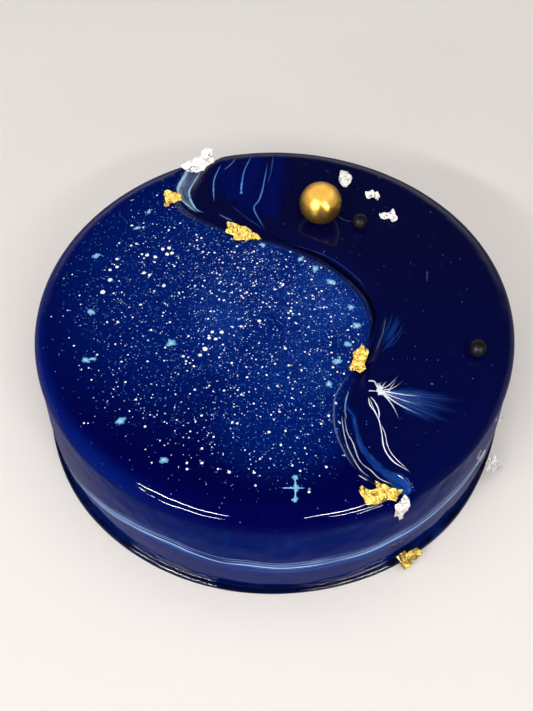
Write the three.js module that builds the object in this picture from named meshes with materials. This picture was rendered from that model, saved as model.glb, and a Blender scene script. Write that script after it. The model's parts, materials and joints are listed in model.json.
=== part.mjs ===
// A round entremet, a mousse cake set in a ring mould and poured over with a dark blue mirror glaze.
// An S-shaped channel crosses the top and parts it into a starry lobe on the left, the -X side, and a
// night lobe on the right. A gold ball, two black sugar pearls and torn gold and silver leaf lie on it.
// Millimetres, +Z up. The origin is the centre of the flat underside, and -Y is the front.
import * as THREE from "three";

// The cake: a 180 mm ring, 50 mm high, with its coat of glaze
const WALL_RADIUS = 91.5;
const CAKE_HEIGHT = 51.5;
const SHOULDER_WIDTH = 10; // how far in from the wall the top starts to roll over
const SHOULDER_DROP = 8; // how far below the top the wall starts
const WALL_FLARE = 1.5; // how much thicker the glaze stands on the lower wall
const FLARE_HEIGHT = 12; // below this height the wall is at its widest
const WALL_BULGE = { azimuth: 28, size: 1.1, spread: 34 }; // where the glaze ran down the wall thicker
const FOOT_RADIUS = 95.15; // outer edge of the glaze that pooled round the foot
const FOOT_HEIGHT = 2.2; // where that bead of glaze leaves the wall
const FOOT_UNDERCUT = 0.35; // how far the bead tucks in at the underside
const FOOT_WAVES = [
  { count: 4, phase: -Math.PI / 2, size: 0.25 },
  { count: 7, phase: 2, size: 0.12 },
]; // unevenness of the bead's radius round the cake
const FOOT_DIPS = [
  { azimuth: 200, size: 0.9, spread: 15 },
  { azimuth: 333, size: 0.8, spread: 14 },
]; // where less glaze ran down, so that the bead is narrower
const FOOT_RISES = [
  { count: 5, phase: 0, size: 0.55 },
  { count: 3, phase: Math.PI, size: 0.35 },
]; // unevenness of the bead's height round the cake

// The channel, from the back rim to the front rim. Each station is a point of its deepest line, with
// the widths of the slopes that rise to the starry lobe and to the night lobe, and the depth.
const CHANNEL = [
  { x: -26.5, y: 93, stars: 5, night: 8, depth: 2.4 },
  { x: -33, y: 79.5, stars: 5.5, night: 8.5, depth: 2.8 },
  { x: -38.2, y: 66, stars: 5.2, night: 8.5, depth: 3.1 },
  { x: -36.6, y: 54, stars: 4.8, night: 8, depth: 2.9 },
  { x: -26.5, y: 45, stars: 4, night: 8, depth: 2.5 },
  { x: -12, y: 38, stars: 3.6, night: 8, depth: 2.4 },
  { x: 4.5, y: 31.5, stars: 3.6, night: 8, depth: 2.4 },
  { x: 20.5, y: 22, stars: 3.5, night: 8, depth: 2.4 },
  { x: 32.5, y: 8, stars: 3.2, night: 8, depth: 2.4 },
  { x: 37.2, y: -7, stars: 2.8, night: 7.5, depth: 2.4 },
  { x: 35.2, y: -19, stars: 2.6, night: 6.5, depth: 2.3 },
  { x: 31, y: -28.5, stars: 2.9, night: 6.5, depth: 2.4 },
  { x: 27, y: -38.5, stars: 4.4, night: 7.4, depth: 3.4 },
  { x: 25.8, y: -50, stars: 5.4, night: 8.8, depth: 4.6 },
  { x: 27.8, y: -61, stars: 6, night: 9, depth: 4.8 },
  { x: 33, y: -70.5, stars: 6.2, night: 8, depth: 4.6 },
  { x: 39.8, y: -79, stars: 5.6, night: 6, depth: 3.6 },
  { x: 46, y: -88, stars: 5, night: 5, depth: 2.6 },
  { x: 51, y: -97, stars: 5, night: 5, depth: 2.4 },
];
// How far the surface still faces up where the channel ends, and where the channel is at its full depth
const CHANNEL_FADE = [0.15, 0.75];

// The toppings
const CONTACT_GAP = 0.12; // clearance under a topping that rests on the glaze
const BALL = { x: 19.2, y: 44.9, radius: 8.5 };
const PEARLS = [
  { x: 35.2, y: 39.8, radius: 3.04 },
  { x: 73.2, y: -24.6, radius: 3.15 },
];
const LEAF_THICKNESS = 0.3;
const LEAF_STEP = 3; // longest stretch of a leaf's outline between two points
const CREASE_HEIGHT = 1.1;
const CREASE_FOLDS = [0.6, 0.85, 1.1]; // radians to a millimetre of the three sets of creases

// Leaf that lies on the glaze. Its middle is at an azimuth in degrees and a reach from the centre, along the
// top and over the shoulder. stand is how far its outermost corner stands up. Each corner of the torn
// outline is so many millimetres anticlockwise round the cake, and so many outwards.
const LYING_LEAF = [
  {
    name: "gold_leaf_1",
    azimuth: 126.6,
    reach: 70.1,
    stand: 0.5,
    corners: [
      [0.6, 4.9], [-0.6, 4.8], [-1.8, 2.7], [-3.4, 1.3], [-3.9, -1.3], [-2.6, -2.3],
      [-1.8, -3.4], [0.5, -2.9], [2.9, -2.3], [4.2, -3.1], [6, -1.9], [4.8, -0.6], [3.7, -0.4],
      [3, 1.6], [2, 3.6],
    ],
  },
  {
    name: "gold_leaf_2",
    azimuth: 108.7,
    reach: 38.1,
    stand: 0.4,
    corners: [
      [3.6, 7.8], [0.8, 5], [0.3, 3.4], [-1.9, 3], [-3.2, 1.1], [-3.6, -1.3], [-5, -1.9],
      [-5.9, -3.5], [-6.8, -6], [-3.1, -5], [0.3, -4.6], [3.2, -3.6], [5.9, -2.6], [4, -0.2],
      [6.3, 2.5], [5.7, 3.8], [4.4, 4.5], [4.2, 6.6],
    ],
  },
  {
    name: "gold_leaf_3",
    azimuth: -41.8,
    reach: 40.9,
    stand: 0.4,
    corners: [
      [5.1, -0.9], [5.6, 0.1], [4.1, 1.2], [1.2, 2.3], [-1.2, 3.3], [-2, 5], [-3.4, 4.6],
      [-4.5, 4.8], [-5, 2.8], [-6.4, 0.9], [-5.2, 0.2], [-3.7, -0.7], [-1.1, -1.5], [0, -3.1],
      [3, -2.9], [6.4, -2.6],
    ],
  },
  {
    name: "gold_leaf_4",
    azimuth: -67.4,
    reach: 87.2,
    stand: 0.5,
    corners: [
      [-3.3, -3], [-2.2, -2.1], [-0.3, -2.2], [0.2, -4.3], [2.6, -2.5], [4.3, -0.9], [7.7, 1.1],
      [5.3, 2.6], [4.1, 3.4], [2.2, 2.2], [0.1, 2.1], [-2.2, 2.1], [-5.4, 1.1], [-5.8, -0.9],
      [-6.5, -3], [-5, -4.3],
    ],
  },
  {
    name: "silver_leaf_1",
    azimuth: 111.5,
    reach: 83.5,
    stand: 5.2,
    corners: [
      [8.8, 1.4], [6.3, 2.5], [4.1, 2.7], [1.4, 3.2], [-1.2, 3.3], [-2, 5.1], [-3.5, 5.6],
      [-6.5, 4.5], [-5.8, 3.2], [-6.2, -0.4], [-3.9, -1.8], [-1.2, -3.2], [1.2, -4.8],
      [4.2, -4.4], [8, -2.6], [8.4, -0.4],
    ],
  },
  {
    name: "silver_leaf_2",
    azimuth: 65.5,
    reach: 74.4,
    stand: 0.3,
    corners: [
      [3.1, 3.3], [0.9, 4.1], [-0.7, 3.1], [-2.8, 1.7], [-3.4, -1.9], [-2.7, -4.8], [-0.3, -4.9],
      [2.2, -2], [2.7, 1.1],
    ],
  },
  {
    name: "silver_leaf_3",
    azimuth: 54.2,
    reach: 71.5,
    stand: 0.3,
    corners: [
      [2.2, 0.4], [1.3, 2], [-0.5, 1.2], [-1.2, 2.3], [-3.4, 0.7], [-3.8, -1.7], [-1.8, -1.5],
      [-0.5, -1.4], [-0.3, -3.6], [1.6, -2.9], [3.3, -0.3],
    ],
  },
  {
    name: "silver_leaf_4",
    azimuth: 43.8,
    reach: 65.7,
    stand: 0.4,
    corners: [
      [2.3, 0.1], [0.8, 1.5], [0.7, 3.8], [-1, 2.8], [-3.2, 2.2], [-4.4, 0.5], [-3.8, -1.6],
      [-1.6, -1.2], [-0.1, -2.7], [1.2, -3.5], [3.1, -2.3],
    ],
  },
  {
    name: "silver_leaf_5",
    azimuth: -63.3,
    reach: 96,
    stand: 1,
    corners: [
      [2.1, 2.9], [0.8, 4.9], [0.4, 9.1], [-1.2, 3.3], [-2.7, 2.1], [-2.8, -2.3], [-2.4, -4],
      [-0.4, -5], [1.5, -6.4], [2.4, -4.9], [2.9, -1.6],
    ],
  },
  {
    name: "silver_leaf_6",
    azimuth: -23.5,
    reach: 113.2,
    stand: 0.6,
    corners: [
      [1.5, -0.6], [1.2, 0.9], [-0.9, 1.1], [-1.6, -0.8], [-0.2, -1.3],
    ],
  },
];
// Leaf that leans from the wall over the foot bead down to the ground: the height it starts from, the radius
// where it would stand, and its corners, where outwards means down along the slope from its middle.
const LEANING_LEAF = [
  {
    name: "gold_leaf_5",
    azimuth: -59.5,
    top: 9.6,
    tip: 98,
    corners: [
      [5.3, 0.9], [4.6, 2.5], [2.2, 2.4], [1.2, 2.3], [-0.1, 3.7], [-2.6, 4.6], [-4, 1.3],
      [-4, -0.5], [-5.2, -3.9], [-1.5, -4.9], [-0.4, -2], [0.7, -3.4], [3.4, -2.9],
    ],
  },
  {
    name: "silver_leaf_7",
    azimuth: -28.2,
    top: 12,
    tip: 100.6,
    corners: [
      [-1.3, -7], [2.1, -4.9], [2.8, 0.1], [1.6, 1.5], [3, 4.6], [1.4, 4.9], [-0.9, 1.4],
      [-3.8, -0.9], [-5.6, -4.5], [-3.7, -5.2], [-4.6, -7.2],
    ],
  },
];
const LEAN_WALL_GAP = 0.5;
const LEAN_GROUND_GAP = 0.4;

// How finely the faceted solids are divided
const CHANNEL_ROWS = 64;
const RUNOUT_ROWS = 4; // rows that carry the channel's last section out to the rim, at each end
const LOBE_COLUMNS = 3;
const CORNER_STEP = 4; // width of a lobe's columns along the rim, at the channel's ends
const SECTION_SIDE = 5; // vertices on each slope of the channel
const SHOULDER_RINGS = 7;
const WALL_RINGS = 3;
const BEAD_RINGS = 5;
const PATH_SAMPLES = 360;
const LEAF_RINGS = [0.35, 0.7, 1];

// Values that follow from the sizes above
const FLAT_RADIUS = WALL_RADIUS - SHOULDER_WIDTH;
const SHOULDER_FOOT = CAKE_HEIGHT - SHOULDER_DROP;
const SHOULDER_ARC = (Math.PI / 2) * Math.sqrt((SHOULDER_WIDTH ** 2 + SHOULDER_DROP ** 2) / 2);
const LOBE_CORNER = (LOBE_COLUMNS * CORNER_STEP) / FLAT_RADIUS; // from the channel to the grid's corner

const radians = THREE.MathUtils.degToRad;
const smooth = (value, low, high) => THREE.MathUtils.smoothstep(value, low, high);

// The channel's line, as samples with a unit vector across it towards the night lobe.
function channelSamples() {
  const line = new THREE.CatmullRomCurve3(
    CHANNEL.map((s) => new THREE.Vector3(s.x, s.y, s.depth)),
    false,
    "catmullrom",
    0.5,
  );
  const slopes = new THREE.CatmullRomCurve3(
    CHANNEL.map((s) => new THREE.Vector3(s.stars, s.night, 0)),
    false,
    "catmullrom",
    0.5,
  );
  const samples = [];
  for (let i = 0; i <= PATH_SAMPLES; i++) {
    const point = line.getPoint(i / PATH_SAMPLES);
    const width = slopes.getPoint(i / PATH_SAMPLES);
    samples.push({ x: point.x, y: point.y, depth: point.z, stars: width.x, night: width.y });
  }
  samples.forEach((sample, i) => {
    const before = samples[Math.max(i - 1, 0)];
    const after = samples[Math.min(i + 1, PATH_SAMPLES)];
    const along = new THREE.Vector2(after.x - before.x, after.y - before.y).normalize();
    sample.along = along;
    sample.across = new THREE.Vector2(-along.y, along.x);
  });
  return samples;
}

const channel = channelSamples();

// Depth of the channel below the top at a point of the plan: the depth of the nearest sample, brought
// to nothing by a smooth step over the slope on the point's side.
function channelDepth(x, y) {
  let nearest = channel[0];
  let least = Infinity;
  for (const sample of channel) {
    const distance = (x - sample.x) ** 2 + (y - sample.y) ** 2;
    if (distance < least) {
      least = distance;
      nearest = sample;
    }
  }
  const offset = (x - nearest.x) * nearest.across.x + (y - nearest.y) * nearest.across.y;
  const width = offset < 0 ? nearest.stars : nearest.night;
  return nearest.depth * (1 - smooth(Math.abs(offset), 0, width));
}

// Radius of the wall at a height: a smooth step from its widest below the flare to the shoulder's foot.
const wallRadius = (height) => WALL_RADIUS + WALL_FLARE * (1 - smooth(height, FLARE_HEIGHT, SHOULDER_FOOT));

// The cake's outline before it is turned about its axis: radius, height and the way the surface faces.
function profileAt(reach) {
  if (reach <= FLAT_RADIUS) {
    return { radius: reach, height: CAKE_HEIGHT, out: 0, up: 1 };
  }
  const turned = (reach - FLAT_RADIUS) / SHOULDER_ARC;
  if (turned >= 1) {
    const below = reach - FLAT_RADIUS - SHOULDER_ARC;
    const height = SHOULDER_FOOT - below;
    return { radius: wallRadius(height), height, out: 1, up: 0 };
  }
  const angle = (turned * Math.PI) / 2;
  const out = Math.sin(angle) / SHOULDER_WIDTH;
  const up = Math.cos(angle) / SHOULDER_DROP;
  const size = Math.hypot(out, up);
  return {
    radius: FLAT_RADIUS + SHOULDER_WIDTH * Math.sin(angle),
    height: SHOULDER_FOOT + SHOULDER_DROP * Math.cos(angle),
    out: out / size,
    up: up / size,
  };
}

// The rings below the flat top: over the shoulder, down the wall and round the bead to the underside.
function sideRings() {
  const rings = [];
  for (let i = 1; i <= SHOULDER_RINGS; i++) {
    rings.push(profileAt(FLAT_RADIUS + (SHOULDER_ARC * i) / SHOULDER_RINGS));
  }
  for (let i = 1; i <= WALL_RINGS; i++) {
    const height = THREE.MathUtils.lerp(SHOULDER_FOOT, FOOT_HEIGHT, i / WALL_RINGS);
    rings.push({ radius: wallRadius(height), height, out: 1, up: 0, rise: i / WALL_RINGS });
  }
  const beadStart = wallRadius(FOOT_HEIGHT);
  const beadWaist = FOOT_HEIGHT / 4;
  for (let i = 1; i <= BEAD_RINGS; i++) {
    const angle = ((i / BEAD_RINGS) * Math.PI) / 2;
    const radius = THREE.MathUtils.lerp(beadStart, FOOT_RADIUS, Math.sin(angle));
    const height = beadWaist + (FOOT_HEIGHT - beadWaist) * Math.cos(angle);
    rings.push({ radius, height, out: 1, up: 0, bead: Math.sin(angle), rise: height / FOOT_HEIGHT });
  }
  rings.push({ radius: FOOT_RADIUS - FOOT_UNDERCUT, height: 0, out: 1, up: 0, bead: 1 });
  return rings;
}

// A section of the channel as plan points, from the starry lobe's edge to the night lobe's.
function sectionPoints(sample) {
  return Array.from({ length: 2 * SECTION_SIDE + 1 }, (_, i) => {
    const part = i / SECTION_SIDE - 1;
    const offset = part * (part < 0 ? sample.stars : sample.night);
    return new THREE.Vector2(sample.x + offset * sample.across.x, sample.y + offset * sample.across.y);
  });
}

// Where a line from a plan point meets the edge of the flat top.
function runOut(point, direction) {
  const along = point.dot(direction);
  const reach = -along + Math.sqrt(along ** 2 + FLAT_RADIUS ** 2 - point.lengthSq());
  return point.clone().addScaledVector(direction, reach);
}

// Rows of section points from the back rim to the front rim, all inside the flat top's edge.
function channelRows() {
  const inside = channel.map((sample) => {
    const points = sectionPoints(sample);
    return points[0].length() < FLAT_RADIUS && points[points.length - 1].length() < FLAT_RADIUS;
  });
  const first = inside.indexOf(true) + 1;
  const last = inside.lastIndexOf(true) - 1;
  const rows = [];
  for (let i = 0; i <= CHANNEL_ROWS; i++) {
    const index = Math.round(THREE.MathUtils.lerp(first, last, i / CHANNEL_ROWS));
    rows.push(sectionPoints(channel[index]));
  }
  const backOut = channel[first].along.clone().negate();
  const frontOut = channel[last].along;
  const back = rows[0];
  const front = rows[rows.length - 1];
  for (let i = 1; i <= RUNOUT_ROWS; i++) {
    const part = i / RUNOUT_ROWS;
    rows.unshift(back.map((point) => point.clone().lerp(runOut(point, backOut), part)));
    rows.push(front.map((point) => point.clone().lerp(runOut(point, frontOut), part)));
  }
  return rows;
}

// Plan points of one lobe's columns in a row, from the rim's arc to the channel's edge.
function lobePoints(edge, arcAngle, isEndRow) {
  const points = [];
  for (let i = 0; i < LOBE_COLUMNS; i++) {
    const part = i / LOBE_COLUMNS;
    if (isEndRow) {
      const angle = THREE.MathUtils.lerp(arcAngle, nearAngle(edge, arcAngle), part);
      points.push(onArc(angle));
    } else {
      points.push(onArc(arcAngle).lerp(edge, part));
    }
  }
  return points;
}

const onArc = (angle) => new THREE.Vector2(Math.cos(angle), Math.sin(angle)).multiplyScalar(FLAT_RADIUS);

// The azimuth of a plan point, in the turn nearest to another angle.
function nearAngle(point, other) {
  const angle = Math.atan2(point.y, point.x);
  return angle + 2 * Math.PI * Math.round((other - angle) / (2 * Math.PI));
}

// The flat top as a grid: rows follow the channel, and columns run from the left rim to the right rim.
function topGrid() {
  const rows = channelRows();
  const count = rows.length - 1;
  const starEdge = (row) => row[0];
  const nightEdge = (row) => row[row.length - 1];
  const starsFrom = nearAngle(starEdge(rows[0]), Math.PI) + LOBE_CORNER;
  const starsTo = nearAngle(starEdge(rows[count]), Math.PI * 1.5) - LOBE_CORNER;
  const nightFrom = nearAngle(nightEdge(rows[0]), 0) - LOBE_CORNER;
  const nightTo = nearAngle(nightEdge(rows[count]), 0) + LOBE_CORNER;
  return rows.map((row, i) => {
    const isEndRow = i === 0 || i === count;
    const starsAngle = THREE.MathUtils.lerp(starsFrom, starsTo, i / count);
    const nightAngle = THREE.MathUtils.lerp(nightFrom, nightTo, i / count);
    return [
      ...lobePoints(starEdge(row), starsAngle, isEndRow),
      ...row,
      ...lobePoints(nightEdge(row), nightAngle, isEndRow).reverse(),
    ];
  });
}

// One closed mesh from vertices and triangles that index them.
function solidGeometry(vertices, triangles) {
  const coordinates = vertices.flatMap((vertex) => vertex.toArray());
  const geometry = new THREE.BufferGeometry();
  geometry.setAttribute("position", new THREE.Float32BufferAttribute(coordinates, 3));
  geometry.setIndex(triangles.flat());
  geometry.computeVertexNormals();
  return geometry;
}

// The indices of the grid's outer edge, clockwise from above, starting at the back left corner.
function gridEdge(rows, columns) {
  const lastRow = rows - 1;
  const lastColumn = columns - 1;
  const index = (row, column) => row * columns + column;
  const back = Array.from({ length: lastColumn }, (_, j) => index(0, j));
  const right = Array.from({ length: lastRow }, (_, i) => index(i, lastColumn));
  const front = Array.from({ length: lastColumn }, (_, j) => index(lastRow, lastColumn - j));
  const left = Array.from({ length: lastRow }, (_, i) => index(lastRow - i, 0));
  return [...back, ...right, ...front, ...left];
}

// The sum of waves round the cake at an azimuth.
function waves(list, azimuth) {
  return list.reduce((sum, wave) => sum + wave.size * Math.sin(wave.count * azimuth + wave.phase), 0);
}

// A swelling's size at an azimuth: whole at its middle, and fading on both sides as a bell does.
function swellingAt(swelling, azimuth) {
  const turn = azimuth - radians(swelling.azimuth) + Math.PI;
  const away = THREE.MathUtils.euclideanModulo(turn, 2 * Math.PI) - Math.PI;
  return swelling.size * Math.exp(-((away / radians(swelling.spread)) ** 2));
}

// How much wider than usual the bead is at an azimuth.
function beadGrowth(azimuth) {
  return FOOT_DIPS.reduce((sum, dip) => sum - swellingAt(dip, azimuth), waves(FOOT_WAVES, azimuth));
}

// A point of the side at an azimuth, pressed in along the surface's own direction by the channel.
function sidePoint(ring, azimuth) {
  const { bead = 0, rise = 0 } = ring;
  const growth = bead * beadGrowth(azimuth) + (ring.out - bead) * swellingAt(WALL_BULGE, azimuth);
  const radius = ring.radius + growth;
  const height = ring.height + rise * waves(FOOT_RISES, azimuth);
  const x = radius * Math.cos(azimuth);
  const y = radius * Math.sin(azimuth);
  const inward = channelDepth(x, y) * smooth(ring.up, ...CHANNEL_FADE);
  return new THREE.Vector3(
    x - inward * ring.out * Math.cos(azimuth),
    y - inward * ring.out * Math.sin(azimuth),
    height - inward * ring.up,
  );
}

function cakeGeometry() {
  const grid = topGrid();
  const columns = grid[0].length;
  const vertices = grid.flat().map(({ x, y }) => new THREE.Vector3(x, y, CAKE_HEIGHT - channelDepth(x, y)));
  const triangles = [];
  for (let i = 0; i + 1 < grid.length; i++) {
    for (let j = 0; j + 1 < columns; j++) {
      const back = i * columns + j;
      const front = back + columns;
      triangles.push([back, front, front + 1], [back, front + 1, back + 1]);
    }
  }
  let loop = gridEdge(grid.length, columns);
  const azimuths = loop.map((index) => Math.atan2(vertices[index].y, vertices[index].x));
  for (const ring of sideRings()) {
    const lower = azimuths.map((azimuth) => vertices.push(sidePoint(ring, azimuth)) - 1);
    loop.forEach((upper, i) => {
      const next = (i + 1) % loop.length;
      triangles.push([upper, loop[next], lower[i]], [loop[next], lower[next], lower[i]]);
    });
    loop = lower;
  }
  const centre = vertices.push(new THREE.Vector3(0, 0, 0)) - 1;
  loop.forEach((index, i) => triangles.push([index, loop[(i + 1) % loop.length], centre]));
  return solidGeometry(vertices, triangles);
}

// A repeatable number from 0 to 1 that looks random.
function scatter(seed, step) {
  const value = Math.sin(seed * 12.9898 + step * 78.233) * 43758.5453;
  return value - Math.floor(value);
}

// The torn outline's corners, with more points along its long edges.
function tornOutline(corners) {
  return corners.flatMap(([x, y], i) => {
    const [nextX, nextY] = corners[(i + 1) % corners.length];
    const parts = Math.ceil(Math.hypot(nextX - x, nextY - y) / LEAF_STEP);
    const between = (from, to, part) => THREE.MathUtils.lerp(from, to, part / parts);
    const pointAt = (part) => new THREE.Vector2(between(x, nextX, part), between(y, nextY, part));
    return Array.from({ length: parts }, (_, part) => pointAt(part));
  });
}

// Height of a crumpled sheet at a point of its plan: the mean of sets of folds that head different ways.
function creases(seed, u, v) {
  const heights = CREASE_FOLDS.map((rate, fold) => {
    const heading = Math.PI * scatter(seed, fold + 41);
    const along = u * Math.cos(heading) + v * Math.sin(heading);
    return Math.abs(Math.sin(along * rate + 2 * Math.PI * scatter(seed, fold + 51)));
  });
  return (CREASE_HEIGHT * heights.reduce((sum, height) => sum + height)) / heights.length;
}

// A thin crumpled sheet. place puts a point of the leaf's plan in space, at a lift over what lies below.
function leafGeometry(leaf, seed, place) {
  const outline = tornOutline(leaf.corners);
  const spokes = outline.length;
  const rings = LEAF_RINGS.flatMap((ring) => outline.map((point) => point.clone().multiplyScalar(ring)));
  const plan = [new THREE.Vector2(0, 0), ...rings];
  const faceAt = (lift) => plan.map((p) => place(p, lift + creases(seed, p.x, p.y)));
  const vertices = [...faceAt(LEAF_THICKNESS), ...faceAt(0)];
  const under = plan.length;
  const triangles = [];
  const addBoth = (a, b, c) => triangles.push([a, c, b], [under + a, under + b, under + c]);
  for (let i = 0; i < spokes; i++) {
    const next = (i + 1) % spokes;
    addBoth(0, 1 + i, 1 + next);
    for (let ring = 1; ring < LEAF_RINGS.length; ring++) {
      const inner = 1 + (ring - 1) * spokes;
      const outer = inner + spokes;
      addBoth(inner + i, outer + i, outer + next);
      addBoth(inner + i, outer + next, inner + next);
    }
    const rim = 1 + (LEAF_RINGS.length - 1) * spokes;
    const [upper, upperNext] = [rim + i, rim + next];
    const [lower, lowerNext] = [under + upper, under + upperNext];
    triangles.push([upper, lowerNext, lower], [upper, upperNext, lowerNext]);
  }
  return solidGeometry(vertices, triangles);
}

// A leaf's plan laid round the cake's outline, with its outer part standing up.
function lyingPlace(leaf) {
  const centre = profileAt(leaf.reach);
  const outermost = Math.max(...leaf.corners.map(([, outwards]) => outwards));
  return (point, lift) => {
    const surface = profileAt(leaf.reach + point.y);
    const azimuth = radians(leaf.azimuth) + point.x / centre.radius;
    const standing = leaf.stand * Math.max(0, point.y / outermost) ** 2;
    const raised = CONTACT_GAP + lift;
    const radius = surface.radius + raised * surface.out;
    return new THREE.Vector3(
      radius * Math.cos(azimuth),
      radius * Math.sin(azimuth),
      surface.height + raised * surface.up + standing,
    );
  };
}

// A leaf's plan on a slope that leans against the wall and stands on the ground clear of the foot bead.
function leaningPlace(leaf) {
  const upper = new THREE.Vector2(wallRadius(leaf.top) + LEAN_WALL_GAP, leaf.top);
  const lower = new THREE.Vector2(leaf.tip, LEAN_GROUND_GAP);
  const down = lower.clone().sub(upper).normalize();
  const out = new THREE.Vector2(-down.y, down.x);
  const middle = upper.clone().lerp(lower, 0.5);
  return (point, lift) => {
    const place = middle.clone().addScaledVector(down, point.y).addScaledVector(out, lift);
    const azimuth = radians(leaf.azimuth) + point.x / WALL_RADIUS;
    return new THREE.Vector3(place.x * Math.cos(azimuth), place.x * Math.sin(azimuth), place.y);
  };
}

const glaze = new THREE.MeshStandardMaterial({ color: 0x0c1f63, roughness: 0.06, metalness: 0 });
const goldPaint = new THREE.MeshStandardMaterial({ color: 0xc9a24a, roughness: 0.28, metalness: 0.9 });
const blackShell = new THREE.MeshStandardMaterial({ color: 0x1b1c20, roughness: 0.35, metalness: 0.1 });
const goldLeaf = new THREE.MeshStandardMaterial({ color: 0xf2c044, roughness: 0.3, metalness: 1 });
const silverLeaf = new THREE.MeshStandardMaterial({ color: 0xdcdad6, roughness: 0.3, metalness: 1 });

const entremet = new THREE.Group();

function addMesh(name, geometry, material) {
  const mesh = new THREE.Mesh(geometry, material);
  mesh.name = name;
  entremet.add(mesh);
  return mesh;
}

function addSphere(name, { x, y, radius }, material, around, down) {
  const sphere = addMesh(name, new THREE.SphereGeometry(radius, around, down), material);
  sphere.rotation.x = Math.PI / 2;
  sphere.position.set(x, y, CAKE_HEIGHT + CONTACT_GAP + radius);
}

addMesh("cake", cakeGeometry(), glaze);
addSphere("gold_ball", BALL, goldPaint, 28, 16);
PEARLS.forEach((pearl, i) => addSphere("black_pearl_" + (i + 1), pearl, blackShell, 16, 10));

[...LYING_LEAF, ...LEANING_LEAF].forEach((leaf, i) => {
  const place = LYING_LEAF.includes(leaf) ? lyingPlace(leaf) : leaningPlace(leaf);
  const material = leaf.name.startsWith("gold") ? goldLeaf : silverLeaf;
  addMesh(leaf.name, leafGeometry(leaf, i + 1, place), material);
});

export default entremet;
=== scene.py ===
# %% [markdown]
# This lesson dresses a round mousse cake with a mirror glaze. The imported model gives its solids: the cake
# with an S-shaped channel across its top, a gold ball, two black pearls and twelve flakes of metal leaf.
# Every surface is worked out here as an array of points, at its real place and size, and gets a material
# made of nodes. Lengths are written in millimetres, as on the cake, and turned into metres by MM.

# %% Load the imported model
import json
import math

import bpy
import numpy as np
from mathutils import Matrix, Vector

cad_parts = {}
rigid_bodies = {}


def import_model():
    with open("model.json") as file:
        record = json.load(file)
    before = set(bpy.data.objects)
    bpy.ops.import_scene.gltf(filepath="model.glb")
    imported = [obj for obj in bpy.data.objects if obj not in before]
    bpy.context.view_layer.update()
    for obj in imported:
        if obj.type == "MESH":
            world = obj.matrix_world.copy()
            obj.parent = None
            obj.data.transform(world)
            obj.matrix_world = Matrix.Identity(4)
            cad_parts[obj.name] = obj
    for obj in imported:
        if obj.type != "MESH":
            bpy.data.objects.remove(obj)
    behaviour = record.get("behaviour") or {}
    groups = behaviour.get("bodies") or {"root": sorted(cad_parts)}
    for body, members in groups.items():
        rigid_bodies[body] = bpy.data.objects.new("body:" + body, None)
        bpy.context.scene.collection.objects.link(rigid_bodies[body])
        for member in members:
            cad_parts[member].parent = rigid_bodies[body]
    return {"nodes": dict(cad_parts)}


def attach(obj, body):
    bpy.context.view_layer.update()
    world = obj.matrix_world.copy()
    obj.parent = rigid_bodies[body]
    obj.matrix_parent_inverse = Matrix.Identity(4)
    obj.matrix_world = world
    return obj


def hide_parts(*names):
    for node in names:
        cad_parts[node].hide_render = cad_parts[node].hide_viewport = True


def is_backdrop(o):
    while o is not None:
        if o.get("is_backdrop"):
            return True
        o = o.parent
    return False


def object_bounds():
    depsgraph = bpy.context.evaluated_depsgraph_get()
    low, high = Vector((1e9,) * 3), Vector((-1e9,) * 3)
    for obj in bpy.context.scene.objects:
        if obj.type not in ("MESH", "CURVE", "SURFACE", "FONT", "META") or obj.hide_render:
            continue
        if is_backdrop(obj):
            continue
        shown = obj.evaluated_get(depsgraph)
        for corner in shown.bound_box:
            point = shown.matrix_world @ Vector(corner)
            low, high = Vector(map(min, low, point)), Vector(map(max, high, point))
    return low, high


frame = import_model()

model_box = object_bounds()
MM = 0.001
FULL_TURN = 2 * math.pi
draws = np.random.default_rng(20)
print("loaded", len(frame["nodes"]), "solids")

# %% [markdown]
# The camera looks down on the cake by 53.7 degrees from a forearm's length above its top, so that all of the
# top and the front half of the wall show. Its place comes from the outline of the round body, and the lens
# from how much smaller the back rim looks than the front rim.

# %% Camera
CAMERA_PLACE = Vector((-2.9, -207.8, 299.9)) * MM
CAMERA_LOOKS_DOWN = math.radians(53.66)
CAMERA_ROLL = math.radians(-0.27)
PICTURE_HEIGHT = 711
FOCAL_PIXELS = 850
SENSOR_HEIGHT = 36

camera = bpy.data.cameras.new("camera")
camera.sensor_fit = "VERTICAL"
camera.sensor_height = SENSOR_HEIGHT
camera.lens = FOCAL_PIXELS * SENSOR_HEIGHT / PICTURE_HEIGHT
camera.clip_start = 0.01
camera_object = bpy.data.objects.new("camera", camera)
tilt = Matrix.Rotation(math.pi / 2 - CAMERA_LOOKS_DOWN, 4, "X")
camera_object.matrix_world = Matrix.Translation(CAMERA_PLACE) @ tilt @ Matrix.Rotation(CAMERA_ROLL, 4, "Z")
bpy.context.scene.collection.objects.link(camera_object)
bpy.context.scene.camera = camera_object
bpy.context.scene.view_settings.view_transform = "Standard"
print("lens", round(camera.lens, 2), "mm")

# %% [markdown]
# A mesh is made the same way each time: a function gives a grid of points, and this helper joins each
# point to its neighbours. The grid may close on itself round one direction, and its first and last rows may
# be drawn together to a point, so that the skin has no hole. Faces point outwards when the columns run
# anticlockwise, seen from outside, and the rows run down.


# %% A grid of points becomes a mesh
def quads_of_grid(rows, columns, closed, start=0):
    """Corner numbers of the faces between neighbouring rows and columns, counted from start."""
    across = columns if closed else columns - 1
    row, column = np.meshgrid(np.arange(rows - 1), np.arange(across), indexing="ij")
    after = (column + 1) % columns
    corners = [row * columns + column, (row + 1) * columns + column, (row + 1) * columns + after]
    corners.append(row * columns + after)
    return np.stack(corners, -1).reshape(-1, 4) + start


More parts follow.
